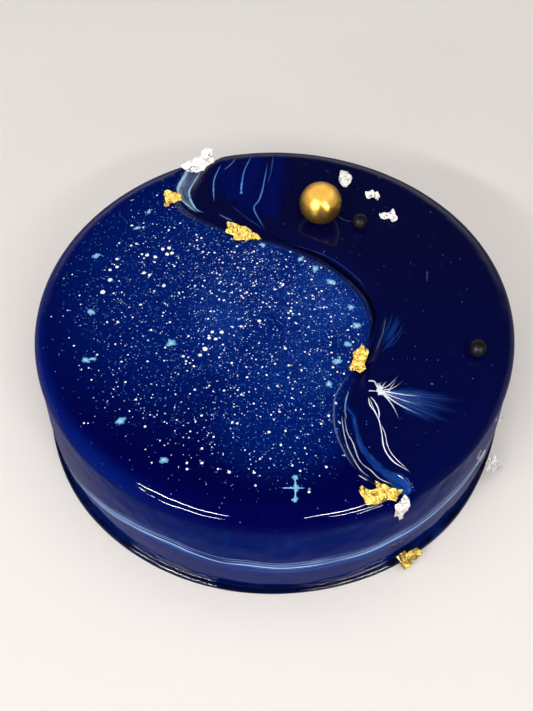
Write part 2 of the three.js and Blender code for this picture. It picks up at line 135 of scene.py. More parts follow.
def mesh_object(name, points, faces, smooth=True):
    """A mesh object from an array of points and a list of arrays of faces with 3 or 4 corners."""
    mesh = bpy.data.meshes.new(name)
    corners = np.concatenate([f.ravel() for f in faces])
    sizes = np.concatenate([np.full(len(f), f.shape[1]) for f in faces])
    mesh.vertices.add(len(points))
    mesh.vertices.foreach_set("co", np.asarray(points, np.float32).ravel())
    mesh.loops.add(len(corners))
    mesh.loops.foreach_set("vertex_index", corners.astype(np.int32))
    mesh.polygons.add(len(sizes))
    starts = np.concatenate([[0], np.cumsum(sizes)[:-1]])
    mesh.polygons.foreach_set("loop_start", starts.astype(np.int32))
    mesh.update(calc_edges=True)
    mesh.polygons.foreach_set("use_smooth", np.full(len(sizes), smooth))
    mesh.validate()
    result = bpy.data.objects.new(name, mesh)
    bpy.context.scene.collection.objects.link(result)
    return result


def capped_grid(grid, first_pole, last_pole):
    """Points and faces of a body: a grid closed round its columns, with a fan to a pole at either end."""
    rows, columns = grid.shape[:2]
    count = rows * columns
    number = np.arange(columns)
    after = (number + 1) % columns
    low_row = count - columns
    top = np.stack([np.full(columns, count), number, after], 1)
    low = np.stack([np.full(columns, count + 1), low_row + after, low_row + number], 1)
    points = np.concatenate([grid.reshape(-1, 3), [first_pole, last_pole]])
    return points, [quads_of_grid(rows, columns, True), top, low]


def add_attribute(piece, name, values):
    """Stores one number, or one colour, for each point of the mesh under a name that a material can read."""
    values = np.asarray(values, np.float32)
    if values.ndim == 1:
        piece.data.attributes.new(name, "FLOAT", "POINT").data.foreach_set("value", values)
    else:
        whole = np.concatenate([values, np.ones((len(values), 1), np.float32)], 1)
        piece.data.attributes.new(name, "FLOAT_COLOR", "POINT").data.foreach_set("color", whole.ravel())


def finish_piece(piece, material, slot, *nodes):
    """Gives a piece its material and its body, and hides the solids that it stands for. Its slot is not used.
    """
    piece.data.materials.append(material)
    if nodes:
        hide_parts(*nodes)
    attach(piece, "root")
    triangles = sum(len(p.vertices) - 2 for p in piece.data.polygons)
    print(piece.name, triangles, "triangles")


# %% [markdown]
# The channel parts the top into two lobes. Its deepest line is a smooth curve through a few stations, each
# with the widths of its two slopes and its depth, the same values that the solid has. A spline carries all
# of them from the back rim to the front rim.

# %% The cake's sizes and the channel's stations
WALL_RADIUS = 91.5
CAKE_HEIGHT = 51.5
SHOULDER_WIDTH = 10
SHOULDER_DROP = 8
WALL_FLARE = 1.5
FLARE_HEIGHT = 12
WALL_BULGE = (28, 1.1, 34)  # azimuth in degrees, size and spread of a thicker run of glaze
FOOT_RADIUS = 95.13  # a hair less than the solid's, so that these finer faces stay inside its box
FOOT_HEIGHT = 2.2
FOOT_UNDERCUT = 0.35
FOOT_WAVES = ((4, -math.pi / 2, 0.25), (7, 2, 0.12))  # waves round the cake, phase, size
FOOT_DIPS = ((200, 0.9, 15), (333, 0.8, 14))  # where less glaze ran down: azimuth, size and spread
FOOT_RISES = ((5, 0, 0.55), (3, math.pi, 0.35))
CHANNEL_FADE = (0.15, 0.75)
CHANNEL = np.array([  # x, y, width of the starry slope, width of the night slope, depth
    (-26.5, 93, 5, 8, 2.4),
    (-33, 79.5, 5.5, 8.5, 2.8),
    (-38.2, 66, 5.2, 8.5, 3.1),
    (-36.6, 54, 4.8, 8, 2.9),
    (-26.5, 45, 4, 8, 2.5),
    (-12, 38, 3.6, 8, 2.4),
    (4.5, 31.5, 3.6, 8, 2.4),
    (20.5, 22, 3.5, 8, 2.4),
    (32.5, 8, 3.2, 8, 2.4),
    (37.2, -7, 2.8, 7.5, 2.4),
    (35.2, -19, 2.6, 6.5, 2.3),
    (31, -28.5, 2.9, 6.5, 2.4),
    (27, -38.5, 4.4, 7.4, 3.4),
    (25.8, -50, 5.4, 8.8, 4.6),
    (27.8, -61, 6, 9, 4.8),
    (33, -70.5, 6.2, 8, 4.6),
    (39.8, -79, 5.6, 6, 3.6),
    (46, -88, 5, 5, 2.6),
    (51, -97, 5, 5, 2.4),
])
FLAT_RADIUS = WALL_RADIUS - SHOULDER_WIDTH
SHOULDER_FOOT = CAKE_HEIGHT - SHOULDER_DROP
SHOULDER_ARC = math.pi / 2 * math.sqrt((SHOULDER_WIDTH ** 2 + SHOULDER_DROP ** 2) / 2)


def smooth(value, low, high):
    """A smooth step: 0 below low, 1 above high, and 3t^2 - 2t^3 between them."""
    share = np.clip((np.asarray(value, float) - low) / (high - low), 0, 1)
    return share * share * (3 - 2 * share)


def spline(stations, share):
    """A curve through stations. Between two of them it is the cubic whose slopes are half the way between
    their neighbours. share runs from 0 at the first station to 1 at the last."""
    stations = np.asarray(stations, float)
    first = 2 * stations[:1] - stations[1:2]
    last = 2 * stations[-1:] - stations[-2:-1]
    padded = np.concatenate([first, stations, last])
    place = np.clip(np.asarray(share, float), 0, 1) * (len(stations) - 1)
    start = np.minimum(place.astype(int), len(stations) - 2)
    t = (place - start)[:, None]
    p0, p1, p2, p3 = (padded[start + i] for i in range(4))
    slope1 = (p2 - p0) / 2
    slope2 = (p3 - p1) / 2
    rise = 2 * p1 - 2 * p2 + slope1 + slope2
    bend = -3 * p1 + 3 * p2 - 2 * slope1 - slope2
    return ((rise * t + bend) * t + slope1) * t + p1


CHANNEL_SAMPLES = 720
channel = spline(CHANNEL, np.linspace(0, 1, CHANNEL_SAMPLES))
channel_along = np.gradient(channel[:, :2], axis=0)
channel_along /= np.linalg.norm(channel_along, axis=1, keepdims=True)
channel_across = np.stack([-channel_along[:, 1], channel_along[:, 0]], 1)


def channel_at(x, y):
    """Signed distance from the channel's line, less than 0 on the starry side, and the depth of the channel.
    The depth is the nearest sample's, brought to nothing by a smooth step over the slope on that side."""
    x, y = np.broadcast_arrays(np.asarray(x, float), np.asarray(y, float))
    nearest = np.empty(x.shape, int)
    for row in range(len(x)):
        away = (x[row, ..., None] - channel[:, 0]) ** 2 + (y[row, ..., None] - channel[:, 1]) ** 2
        nearest[row] = away.argmin(-1)
    offset = (x - channel[nearest, 0]) * channel_across[nearest, 0]
    offset += (y - channel[nearest, 1]) * channel_across[nearest, 1]
    width = np.where(offset < 0, channel[nearest, 2], channel[nearest, 3])
    depth = channel[nearest, 4] * (1 - smooth(np.abs(offset) / width, 0, 1))
    distance = np.hypot(x - channel[nearest, 0], y - channel[nearest, 1])
    return np.where(offset < 0, -distance, distance), depth


channel_length = np.linalg.norm(np.diff(channel[:, :2], axis=0), axis=1).sum()
print("the channel is", round(channel_length), "mm long")

# %% [markdown]
# A poured glaze is one skin over the whole cake. It is flat on top, rolls over a soft shoulder, hangs down
# the wall and gathers in a bead at the foot. Turning an outline about an axis gives such a body, so the skin
# is a grid of azimuth against the way down the outline, and the channel presses each point in along the
# direction that the surface faces. The rings lie closer where the channel crosses them, so that its slopes
# mirror the lights without steps.

# %% The outline of the cake
AROUND = 640
FILLET = 0.7
FLAT_RINGS = ((0, 24, 10), (24, 50, 41), (50, FLAT_RADIUS, 43))  # from, to, rings: closest at the channel
SHOULDER_RINGS = 21
WALL_RINGS = 16
FILLET_RINGS = 4
BEAD_RINGS = 13


def wall_radius(height):
    """Radius of the wall: widest below the flare, and a smooth step narrower up to the shoulder's foot."""
    return WALL_RADIUS + WALL_FLARE * (1 - smooth(height, FLARE_HEIGHT, SHOULDER_FOOT))


def steps(start, end, count):
    """Even steps from start to end, without start itself."""
    return np.linspace(start, end, count + 1)[1:]


def ring_rows(*columns):
    """Rings of one stretch of the outline. Each column is an array, or one number for all of them."""
    return np.stack(np.broadcast_arrays(*columns), 1)


def outline_rings():
    """Radius, height, outward and upward lean, share of the bead's waves and share of its rises, for each
    ring of the skin from the middle of the top to the middle of the underside."""
    flat = np.concatenate([steps(*stretch) for stretch in FLAT_RINGS])
    angle = steps(0, math.pi / 2, SHOULDER_RINGS)
    shoulder = [FLAT_RADIUS + SHOULDER_WIDTH * np.sin(angle), SHOULDER_FOOT + SHOULDER_DROP * np.cos(angle)]
    lean = np.array([np.sin(angle) / SHOULDER_WIDTH, np.cos(angle) / SHOULDER_DROP])
    lean /= np.linalg.norm(lean, axis=0)
    wall_foot = FOOT_HEIGHT + FILLET
    wall = steps(SHOULDER_FOOT, wall_foot, WALL_RINGS)
    fall = (SHOULDER_FOOT - wall) / (SHOULDER_FOOT - wall_foot)
    turn = steps(0, math.pi / 2, FILLET_RINGS)
    hollow = [wall_radius(0) + FILLET * (1 - np.cos(turn)), FOOT_HEIGHT + FILLET * (1 - np.sin(turn))]
    bend = steps(0, math.pi / 2, BEAD_RINGS)
    waist = FOOT_HEIGHT / 4
    height = waist + (FOOT_HEIGHT - waist) * np.cos(bend)
    inner = wall_radius(0) + FILLET
    bead = [inner + (FOOT_RADIUS - inner) * np.sin(bend), height]
    return np.concatenate([
        ring_rows(flat, CAKE_HEIGHT, 0, 1, 0, 0),
        ring_rows(*shoulder, *lean, 0, 0),
        ring_rows(wall_radius(wall), wall, 1, 0, 0, fall),
        ring_rows(*hollow, 1, 0, (1 - np.cos(turn)) / 2, 1),
        ring_rows(*bead, 1, 0, (1 + np.sin(bend)) / 2, height / FOOT_HEIGHT),
        [(FOOT_RADIUS - FOOT_UNDERCUT, 0, 1, 0, 1, 0), (FOOT_RADIUS / 2, 0, 1, 0, 1, 0)],
    ])


rings = outline_rings()
TOP_RINGS = int((rings[:, 1] >= SHOULDER_FOOT).sum())
print("the cake's skin has", len(rings), "rings of", AROUND, "points")


# %% The skin of the cake
def waves(azimuth, several):
    """The sum of a few sines round the cake."""
    return sum(size * np.sin(count * azimuth + phase) for count, phase, size in several)


def swelling(azimuth, middle, size, spread):
    """A bell over the difference between an azimuth and the swelling's middle, both brought into one turn."""
    away = (np.degrees(azimuth) - middle + 180) % 360 - 180
    return size * np.exp(-(away / spread) ** 2)


def skin_point(radius, height, out, up, bead, rise, azimuth):
    """A point of the glazed skin in millimetres: the outline turned to its azimuth, pressed in along the
    surface's own direction by the channel's depth there. Also gives the signed distance from the channel."""
    growth = waves(azimuth, FOOT_WAVES) - sum(swelling(azimuth, *dip) for dip in FOOT_DIPS)
    reach = radius + bead * growth + (out - bead) * swelling(azimuth, *WALL_BULGE)
    x = reach * np.cos(azimuth)
    y = reach * np.sin(azimuth)
    side, depth = channel_at(x, y)
    press = depth * smooth(up, *CHANNEL_FADE)
    z = height + rise * waves(azimuth, FOOT_RISES) - press * up
    inward = press * out
    return np.stack([x - inward * np.cos(azimuth), y - inward * np.sin(azimuth), z], -1), side, press


azimuths = np.linspace(0, FULL_TURN, AROUND, endpoint=False)[None, :]
skin, skin_side, skin_press = skin_point(*(rings[:, i, None] for i in range(6)), azimuths)
print("channel reaches", round(float(skin_press.max()), 2), "mm deep")

# %% [markdown]
# The wall carries a pale marbled band, where white glaze ran into the blue. Its height wanders as it goes
# round, so it is a curve of height against azimuth through a few places, closed on itself. The mesh stores
# how far each of its points is above that curve, and the material draws the band wherever that distance is
# small.

# %% The marbled band and the finished skin
BAND_PLACES = np.array([  # azimuth in degrees, height
    (-180, 12), (-154, 9), (-138, 15.8), (-130, 18.4), (-123, 21.4), (-114, 23.2), (-108, 21.4), (-102, 19.7),
    (-96, 20.4), (-89, 19), (-83, 19.1), (-77, 19.8), (-69, 19.3), (-63, 20.5), (-55, 21), (-46, 22.1),
    (-20, 25), (20, 21), (60, 16), (100, 19), (140, 15), (180, 12),
])
BAND_SAMPLES = 600
band_curve = spline(BAND_PLACES, np.linspace(0, 1, BAND_SAMPLES))
skin_azimuth = np.degrees(np.arctan2(skin[..., 1], skin[..., 0]))
skin_band = skin[..., 2] - np.interp(skin_azimuth, band_curve[:, 0], band_curve[:, 1])

skin_points, skin_faces = capped_grid(skin, (0, 0, CAKE_HEIGHT), (0, 0, 0))
cake = mesh_object("glazed_cake", skin_points * MM, skin_faces)
for name, values, limit, poles in (("side", skin_side, 30, (-30, -30)), ("band", skin_band, 20, (20, -20))):
    add_attribute(cake, name, np.append(np.clip(values, -limit, limit).ravel(), poles))


# %% [markdown]
# What lies on the glaze has to follow its skin. Two helpers do that for every mark: one gives the height of
# the skin at a place, and the other moves a mark, noted as the camera sees it, along the camera's line until
# it meets the skin.

# %% Places on the skin
RIM_FALL = 40  # how steeply the wall counts as falling, so that a line past the rim still meets it
LINE_STEPS = np.arange(0, 20, 0.4)[:, None]


def skin_height(x, y):
    """Height of the skin above plan points: read between the four nearest points of its grid. Past the rim
    it falls away steeply."""
    x, y = np.broadcast_arrays(np.asarray(x, float), np.asarray(y, float))
    column = np.arctan2(y, x).ravel() % FULL_TURN / FULL_TURN * AROUND
    low = column.astype(int) % AROUND
    share = (column - np.floor(column))[None]
    top = skin[:TOP_RINGS]
    between = top[:, low] * (1 - share[..., None]) + top[:, (low + 1) % AROUND] * share[..., None]
    radius = np.hypot(between[..., 0], between[..., 1])
    wanted = np.hypot(x, y).ravel()
    row = np.clip((radius < wanted).sum(0), 1, TOP_RINGS - 1)
    item = np.arange(len(wanted))
    inner, outer = radius[row - 1, item], radius[row, item]
    part = np.clip((wanted - inner) / np.maximum(outer - inner, 1e-6), -1, 1)
    height = between[row - 1, item, 2] * (1 - part) + between[row, item, 2] * part
    past_rim = np.maximum(wanted - radius[-1], 0)
    return (height - RIM_FALL * past_rim).reshape(x.shape)


def seen_on_skin(noted):
    """Plan places of marks that were noted from the camera as if all lay at the height of the flat top. Each
    is followed along the camera's line until that line dips under the skin."""
    noted = np.asarray(noted, float)
    eye = np.array(CAMERA_PLACE) / MM
    way = np.concatenate([noted, np.full((len(noted), 1), CAKE_HEIGHT)], 1) - eye
    way /= np.linalg.norm(way, axis=1, keepdims=True)
    x = noted[:, 0] + way[:, 0] * LINE_STEPS
    y = noted[:, 1] + way[:, 1] * LINE_STEPS
    gap = CAKE_HEIGHT + way[:, 2] * LINE_STEPS - skin_height(x, y)
    below = np.argmax(gap < -1e-6, axis=0)
    below = np.where(below == 0, len(LINE_STEPS) - 1, below)
    item = np.arange(len(noted))
    over, under = gap[below - 1, item], gap[below, item]
    travel = LINE_STEPS[below - 1, 0] + (LINE_STEPS[1, 0] - LINE_STEPS[0, 0]) * over / (over - under)
    return noted + way[:, :2] * travel[:, None]


print("a mark noted at the front rim lies at", seen_on_skin([(30, -74)]).round(1).tolist())

# %% [markdown]
# Colours are noted as they look on a screen, from 0 to 255, and a material wants them as amounts of light.
# The helpers below keep the node graphs short: one adds a node and sets its inputs by name, and the others
# add the sums and smooth steps that a mask is made of.

# %% Colour and node helpers
def tone(red, green, blue):
    """Screen colour to light: the standard curve, which is a power of 2.4 above a short straight toe."""
    screen = np.array([red, green, blue], float) / 255
    light = np.where(screen <= 0.04045, screen / 12.92, ((screen + 0.055) / 1.055) ** 2.4)
    return (*light.tolist(), 1.0)


def set_inputs(node, values):
    """Sets inputs of a node, by name or number, to a value or to a link from another node's socket."""
    for key, value in values.items():
        if isinstance(value, bpy.types.NodeSocket):
            node.id_data.links.new(value, node.inputs[key])
        else:
            node.inputs[key].default_value = value


def add_node(tree, kind, values=None, **settings):
    """Adds a node of a kind, with its settings and its inputs."""
    node = tree.nodes.new(kind)
    for key, value in settings.items():
        setattr(node, key, value)
    set_inputs(node, values or {})
    return node


def sum_of(tree, operation, *values):
    """The result of a Math node."""
    return add_node(tree, "ShaderNodeMath", dict(enumerate(values)), operation=operation).outputs[0]


def times(tree, first, second):
    """The product of two values."""
    return sum_of(tree, "MULTIPLY", first, second)


def most(tree, first, *others):
    """The greatest of several values."""
    for other in others:
        first = sum_of(tree, "MAXIMUM", first, other)
    return first


def away_from(tree, value, middle):
    """How far a value is from a middle one."""
    return sum_of(tree, "ABSOLUTE", sum_of(tree, "SUBTRACT", value, middle))


def ramp(tree, value, low, high, start=0.0, end=1.0):
    """A smooth step of a value from start at low to end at high."""
    sockets = {"Value": value, "From Min": low, "From Max": high, "To Min": start, "To Max": end}
    return add_node(tree, "ShaderNodeMapRange", sockets, interpolation_type="SMOOTHSTEP").outputs["Result"]


def blend(tree, share, first, second):
    """A colour between two others."""
    return add_node(tree, "ShaderNodeMix", {0: share, 6: first, 7: second}, data_type="RGBA").outputs[2]


def attribute(tree, name, output="Fac"):
    """A number or colour stored on the mesh."""
    return add_node(tree, "ShaderNodeAttribute", attribute_name=name).outputs[output]


def noise(tree, place, scale, detail=2.0, roughness=0.5):
    """A cloudy value from 0 to 1."""
    sockets = {"Vector": place, "Scale": scale, "Detail": detail, "Roughness": roughness}
    return add_node(tree, "ShaderNodeTexNoise", sockets).outputs[0]


def stretched(tree, place, scale):
    """Coordinates stretched along each axis."""
    return add_node(tree, "ShaderNodeMapping", {"Vector": place, "Scale": scale}).outputs[0]


def split(tree, place):
    """The X, Y and Z of coordinates."""
    return add_node(tree, "ShaderNodeSeparateXYZ", {0: place}).outputs


def bump(tree, height, strength, distance):
    """A bent normal from a height."""
    sockets = {"Height": height, "Strength": strength, "Distance": distance}
    return add_node(tree, "ShaderNodeBump", sockets).outputs[0]


def new_material(name):
    """A material with one Principled shader. Gives the material, its node tree, the shader and the Object
    coordinates."""
    material = bpy.data.materials.new(name)
    material.use_nodes = True
    tree = material.node_tree
    place = add_node(tree, "ShaderNodeTexCoord").outputs["Object"]
    return material, tree, tree.nodes["Principled BSDF"], place


# %% [markdown]
# Several of the finishes share one effect: the film of glaze, the paint on the ball and the sugar shell of
# the pearls are all a little uneven, which shows as a slow change of gloss and a faint waviness. It is a node
# group with its own inputs, so that each material can ask for its own grain.

# %% Node group for an uneven coat
def new_group(name, numbers, results):
    """A node group that takes coordinates and some numbers, given with their usual values, and gives other
    numbers. Gives the group, the sockets of its inputs and the node that takes its results."""
    group = bpy.data.node_groups.new(name, "ShaderNodeTree")
    group.interface.new_socket(name="Place", in_out="INPUT", socket_type="NodeSocketVector")
    for key, usual in numbers.items():
        socket = group.interface.new_socket(name=key, in_out="INPUT", socket_type="NodeSocketFloat")
        socket.default_value = usual
    for key in results:
        group.interface.new_socket(name=key, in_out="OUTPUT", socket_type="NodeSocketFloat")
    return group, group.nodes.new("NodeGroupInput").outputs, group.nodes.new("NodeGroupOutput")


def make_uneven_coat():
    """Two octaves of cloud give a gloss between two values and a height for a bump."""
    usual = {"Grain": 60.0, "Gloss low": 0.03, "Gloss high": 0.08}
    group, inputs, results = new_group("uneven coat", usual, ("Gloss", "Height"))
    cloud = noise(group, inputs["Place"], inputs["Grain"], 1.0)
    gloss = ramp(group, cloud, 0.35, 0.7, inputs["Gloss low"], inputs["Gloss high"])
    set_inputs(results, {"Gloss": gloss, "Height": cloud})
    return group


uneven_coat = make_uneven_coat()


def coated(tree, place, grain, gloss_low, gloss_high, strength, depth):
    """The uneven coat placed in a material: what it gives to the shader's Roughness and Normal."""
    sockets = {"Place": place, "Grain": grain, "Gloss low": gloss_low, "Gloss high": gloss_high}
    coat = add_node(tree, "ShaderNodeGroup", sockets, node_tree=uneven_coat).outputs
    return {"Roughness": coat["Gloss"], "Normal": bump(tree, coat["Height"], strength, depth)}


# %% [markdown]
# The glaze is one dark liquid poured in two tones. The starry lobe is royal blue, lightest in a soft cloud
# right of its middle and nearly black-blue towards the front left. The night lobe is darker and greyer, bluer
# again towards the front. Clouds of fine silver dust lie in the starry lobe. All of it follows places on
# the cake, so the colours are worked out from Object coordinates and the distance from the channel.

# %% Tones of the mirror glaze
STAR_DEEP = tone(0, 1, 64)
STAR_ROYAL = tone(0, 22, 98)
STAR_CLOUD = tone(12, 50, 136)
NIGHT_BACK = tone(6, 8, 50)
NIGHT_FRONT = tone(2, 7, 62)
WALL_BLUE = tone(0, 16, 84)
WALL_FOOT = tone(0, 0, 30)
FOOT_BLUE = tone(4, 70, 160)
RIM_BLUE = tone(2, 21, 100)
HAZE_TONE = tone(18, 84, 190)
DUST_TONE = tone(92, 146, 226)
BAND_TONE = tone(160, 196, 236)
BAND_VEIL = tone(12, 58, 140)
STARRY_BODY = ((-12, 12, 92, 84), (2, -46, 36, 36))  # x, y and half-widths of the royal blue
STARRY_CLOUD = (14, -4, 52, 46)
BAND_LINES = ((1.9, 0.26, 0.6), (3.3, 0.24, 0.4), (-1.2, 0.22, 0.3))  # rise, half-thickness and strength

# %% Where one look of the glaze changes into the next, in metres
WALL_STARTS = (0.0475, 0.0400)  # heights where the top's colours give way to the wall's
WALL_DARKENS = (0.002, 0.006)
FOOT_PATCHES = (0.006, 0.004)
RIM_HEIGHTS = (0.0513, 0.0485)  # where the starry lobe rolls over the rim
RIM_PLACES = (-0.015, -0.07)  # and how far left it gets its bluest
NIGHT_FADE = (0.05, -0.075)  # from the back to the front of the night lobe
LOBE_EDGE = (-2.2, 1.2)  # in millimetres from the channel's line


def soft_spot(tree, xyz, x, y, across, along):
    """A soft round patch: 1 at its centre in millimetres, falling to 0 at its two half-widths."""
    squares = 0
    for axis, middle, half_width in (("X", x, across), ("Y", y, along)):
        away = sum_of(tree, "MULTIPLY_ADD", xyz[axis], 1 / (half_width * MM), -middle / half_width)
        squares = sum_of(tree, "MULTIPLY_ADD", away, away, squares)
    return ramp(tree, squares, 0, 1, 1.0, 0.0)


def dust(tree, place, scale, size, density):
    """Fine grains: the middle of each random cell, kept where the cell's own number is below the density."""
    cells = add_node(tree, "ShaderNodeTexVoronoi", {"Vector": place, "Scale": scale}, voronoi_dimensions="3D")
    number = add_node(tree, "ShaderNodeSeparateColor", {0: cells.outputs["Color"]}).outputs[0]
    grain = ramp(tree, cells.outputs["Distance"], size * 0.5, size, 1.0, 0.0)
    kept = ramp(tree, sum_of(tree, "SUBTRACT", number, density), -0.02, 0.0, 1.0, 0.0)
    return times(tree, grain, kept)


def starry_colour(tree, place, xyz):
    """The starry lobe: deep blue at its edges, royal blue in its body and where it rolls over the left
    rim, a lighter cloud, a fine haze and dust."""
    clouds = noise(tree, place, 28, 4, 0.55)
    body = most(tree, *(soft_spot(tree, xyz, *spot) for spot in STARRY_BODY))
    cloud = times(tree, soft_spot(tree, xyz, *STARRY_CLOUD), ramp(tree, clouds, 0.25, 0.7))
    starry = blend(tree, cloud, blend(tree, body, STAR_DEEP, STAR_ROYAL), STAR_CLOUD)
    at_rim = times(tree, ramp(tree, xyz["Z"], *RIM_HEIGHTS), ramp(tree, xyz["X"], *RIM_PLACES))
    bluer = times(tree, at_rim, ramp(tree, clouds, 0.35, 0.65, 0.65, 1.0))
    mist = ramp(tree, noise(tree, place, 1500, 3, 0.8), 0.5, 0.66)
    haze = times(tree, mist, sum_of(tree, "MULTIPLY_ADD", cloud, 0.24, times(tree, body, 0.22)))
    coarse = dust(tree, place, 1200, 0.36, sum_of(tree, "MULTIPLY_ADD", body, 0.22, 0.03))
    fine = dust(tree, place, 2200, 0.42, times(tree, cloud, 0.5))
    starry = blend(tree, haze, blend(tree, bluer, starry, RIM_BLUE), HAZE_TONE)
    return blend(tree, times(tree, most(tree, coarse, fine), 0.6), starry, DUST_TONE)


def drawn_threads(tree, along, height, to_a_millimetre):
    """A cloudy value drawn out along the band, with so many threads to a millimetre across it."""
    across = add_node(tree, "ShaderNodeCombineXYZ", {"Z": times(tree, height, to_a_millimetre)}).outputs[0]
    drawn = add_node(tree, "ShaderNodeVectorMath", {0: along, 1: across}, operation="ADD").outputs[0]
    return noise(tree, drawn, 1.0, 4, 0.65)


def wall_colour(tree, place, xyz):
    """The wall: royal blue above and darker at its foot, with faint runs down it. Along the band lie one
    thin pale line, finer broken lines and threads beside it and a blue glow, all drawn out along it. Low
    on the wall are a few lighter blue patches."""
    flow = add_node(tree, "ShaderNodeCombineXYZ", {"X": xyz["X"], "Y": xyz["Y"]}).outputs[0]
    along = stretched(tree, flow, (24, 24, 24))
    wander = sum_of(tree, "MULTIPLY_ADD", noise(tree, along, 1.1, 3), 1.6, -0.8)
    height = sum_of(tree, "ADD", attribute(tree, "band"), wander)
    offset = sum_of(tree, "ABSOLUTE", height)
    above = away_from(tree, height, 1.4)
    threads = drawn_threads(tree, along, height, 0.5)
    lines = drawn_threads(tree, along, height, 0.95)
    patches = noise(tree, along, 1.4, 2)
    runs = ramp(tree, noise(tree, stretched(tree, place, (330, 330, 45)), 1.0, 3), 0.45, 0.8, 0.0, 0.2)
    wall = blend(tree, ramp(tree, xyz["Z"], *WALL_DARKENS), WALL_FOOT, WALL_BLUE)
    wall = blend(tree, most(tree, runs, ramp(tree, threads, 0.4, 0.8, 0.0, 0.25)), wall, BAND_VEIL)
    glow = times(tree, ramp(tree, offset, 7.0, 0.8), ramp(tree, threads, 0.4, 0.6, 0.15, 0.9))
    wall = blend(tree, times(tree, glow, ramp(tree, height, 1.5, -1.0, 0.45, 1.0)), wall, BAND_VEIL)
    low = times(tree, ramp(tree, xyz["Z"], *FOOT_PATCHES), ramp(tree, patches, 0.58, 0.72, 0.0, 0.3))
    wall = blend(tree, low, wall, FOOT_BLUE)
    core = times(tree, ramp(tree, offset, 0.6, 0.2), ramp(tree, patches, 0.3, 0.55, 0.4, 1.0))
    fine = times(tree, ramp(tree, above, 5.0, 1.2), ramp(tree, threads, 0.54, 0.62, 0.0, 0.35))
    beside = times(tree, ramp(tree, above, 2.6, 0.6), ramp(tree, lines, 0.5, 0.6, 0.0, 0.3))
    pale = most(tree, core, fine, beside)
    for rise, thick, strength in BAND_LINES:
        broken = ramp(tree, noise(tree, along, 1.1 + rise / 8, 2), 0.34, 0.48, 0.0, strength)
        line = ramp(tree, away_from(tree, height, rise), thick, thick / 3)
        pale = most(tree, pale, times(tree, line, broken))
    return blend(tree, pale, wall, BAND_TONE)


# %% Mirror glaze
GLAZE_IOR = 1.42
GLAZE_COAT = (0.02, 0.05, 0.5, 0.0009)  # gloss from and to, strength and depth of the ripples
CHANNEL_MOUTH = (42, -80.5, 9, 9)  # x, y and half-widths of the place where the channel leaves the top
MOUTH_HEIGHTS = (0.036, 0.042)
MOUTH_LOSS = 0.47
BEAD_HEIGHTS = (0.0035, 0.0025)


def mirror_level(tree, xyz):
    """Strength of the mirror, which fades in the channel's mouth, where the thin glaze shows no lines, and
    grows in the thick bead at the foot."""
    mouth = times(tree, soft_spot(tree, xyz, *CHANNEL_MOUTH), ramp(tree, xyz["Z"], *MOUTH_HEIGHTS))
    bead = ramp(tree, xyz["Z"], *BEAD_HEIGHTS, 0.5, 1.0)
    return sum_of(tree, "MULTIPLY_ADD", mouth, -MOUTH_LOSS, bead)


def make_glaze():
    """Dark blue mirror glaze with its two tones, clouds and dust, and slow ripples that bend its mirror."""
    material, tree, shader, place = new_material("mirror glaze")
    xyz = split(tree, place)
    night = blend(tree, ramp(tree, xyz["Y"], *NIGHT_FADE), NIGHT_BACK, NIGHT_FRONT)
    beyond = ramp(tree, attribute(tree, "side"), *LOBE_EDGE)
    top = blend(tree, beyond, starry_colour(tree, place, xyz), night)
    set_inputs(shader, {
        "Base Color": blend(tree, ramp(tree, xyz["Z"], *WALL_STARTS), top, wall_colour(tree, place, xyz)),
        "Specular IOR Level": mirror_level(tree, xyz),
        "IOR": GLAZE_IOR,
        **coated(tree, place, 85, *GLAZE_COAT),
    })
    return material


glaze = make_glaze()
finish_piece(cake, glaze, "mirror_glaze", "cake")

# %% [markdown]
# The marbling is thin glaze of other tones, drawn out by the pour into strands and veils that lie in the dark
# glaze. A strand is a strip along a smooth path. Across it the strip is a low arch that starts under the
# skin, so that it has no step at its edge, and its cover falls from its middle to its edges, so that it melts
# into what lies under it. Strands that belong together are joined into one film, as glossy as the glaze. Some
# strands in the channel are painted light instead: painted highlights, reflections and shade.

# %% A strand of marbling
STRAND_STEP = 0.45
STRAND_WOBBLE = 0.22
STRAND_WAVES = (1.3, 0.47)  # radians to a millimetre of the two waves in its width
LEAST_HALF_WIDTH = 0.02
SPLAT_CORE = 0.55
ARM_STRAY = 0.35  # how far a splat's arm may be off, as a share of the angle between two arms
ARM_HEIGHTS = (0.05, 0.55)
ARM_WIDTHS = (0.2, 0.6)  # in radians
SPLAT_POINTS = 48
SPLAT_RINGS = 6
FILM_CLEARANCE = 0.02
PATTERN_SHIFT = 50  # so that no two parts of a film have the same threads


def new_film():
    """Empty lists for the parts of a film: points, faces, tint, cover, and place along and across."""
    return {"points": [], "faces": [], "tint": [], "cover": [], "place": []}


def add_to_film(film, x, y, lift, tint, cover, place, closed):
    """Adds a grid of plan places to a film, at a lift over the skin."""
    start = sum(len(points) for points in film["points"])
    z = skin_height(x, y) + lift + FILM_CLEARANCE
    film["points"].append(np.stack([x, y, z], -1).reshape(-1, 3))
    film["faces"].append(quads_of_grid(*x.shape, closed, start))
    film["tint"].append(np.broadcast_to(tint[:3], (x.size, 3)))
    film["cover"].append(np.broadcast_to(cover, x.shape).ravel())
    film["place"].append(np.stack(np.broadcast_arrays(*place, x)[:3], -1).reshape(-1, 3))


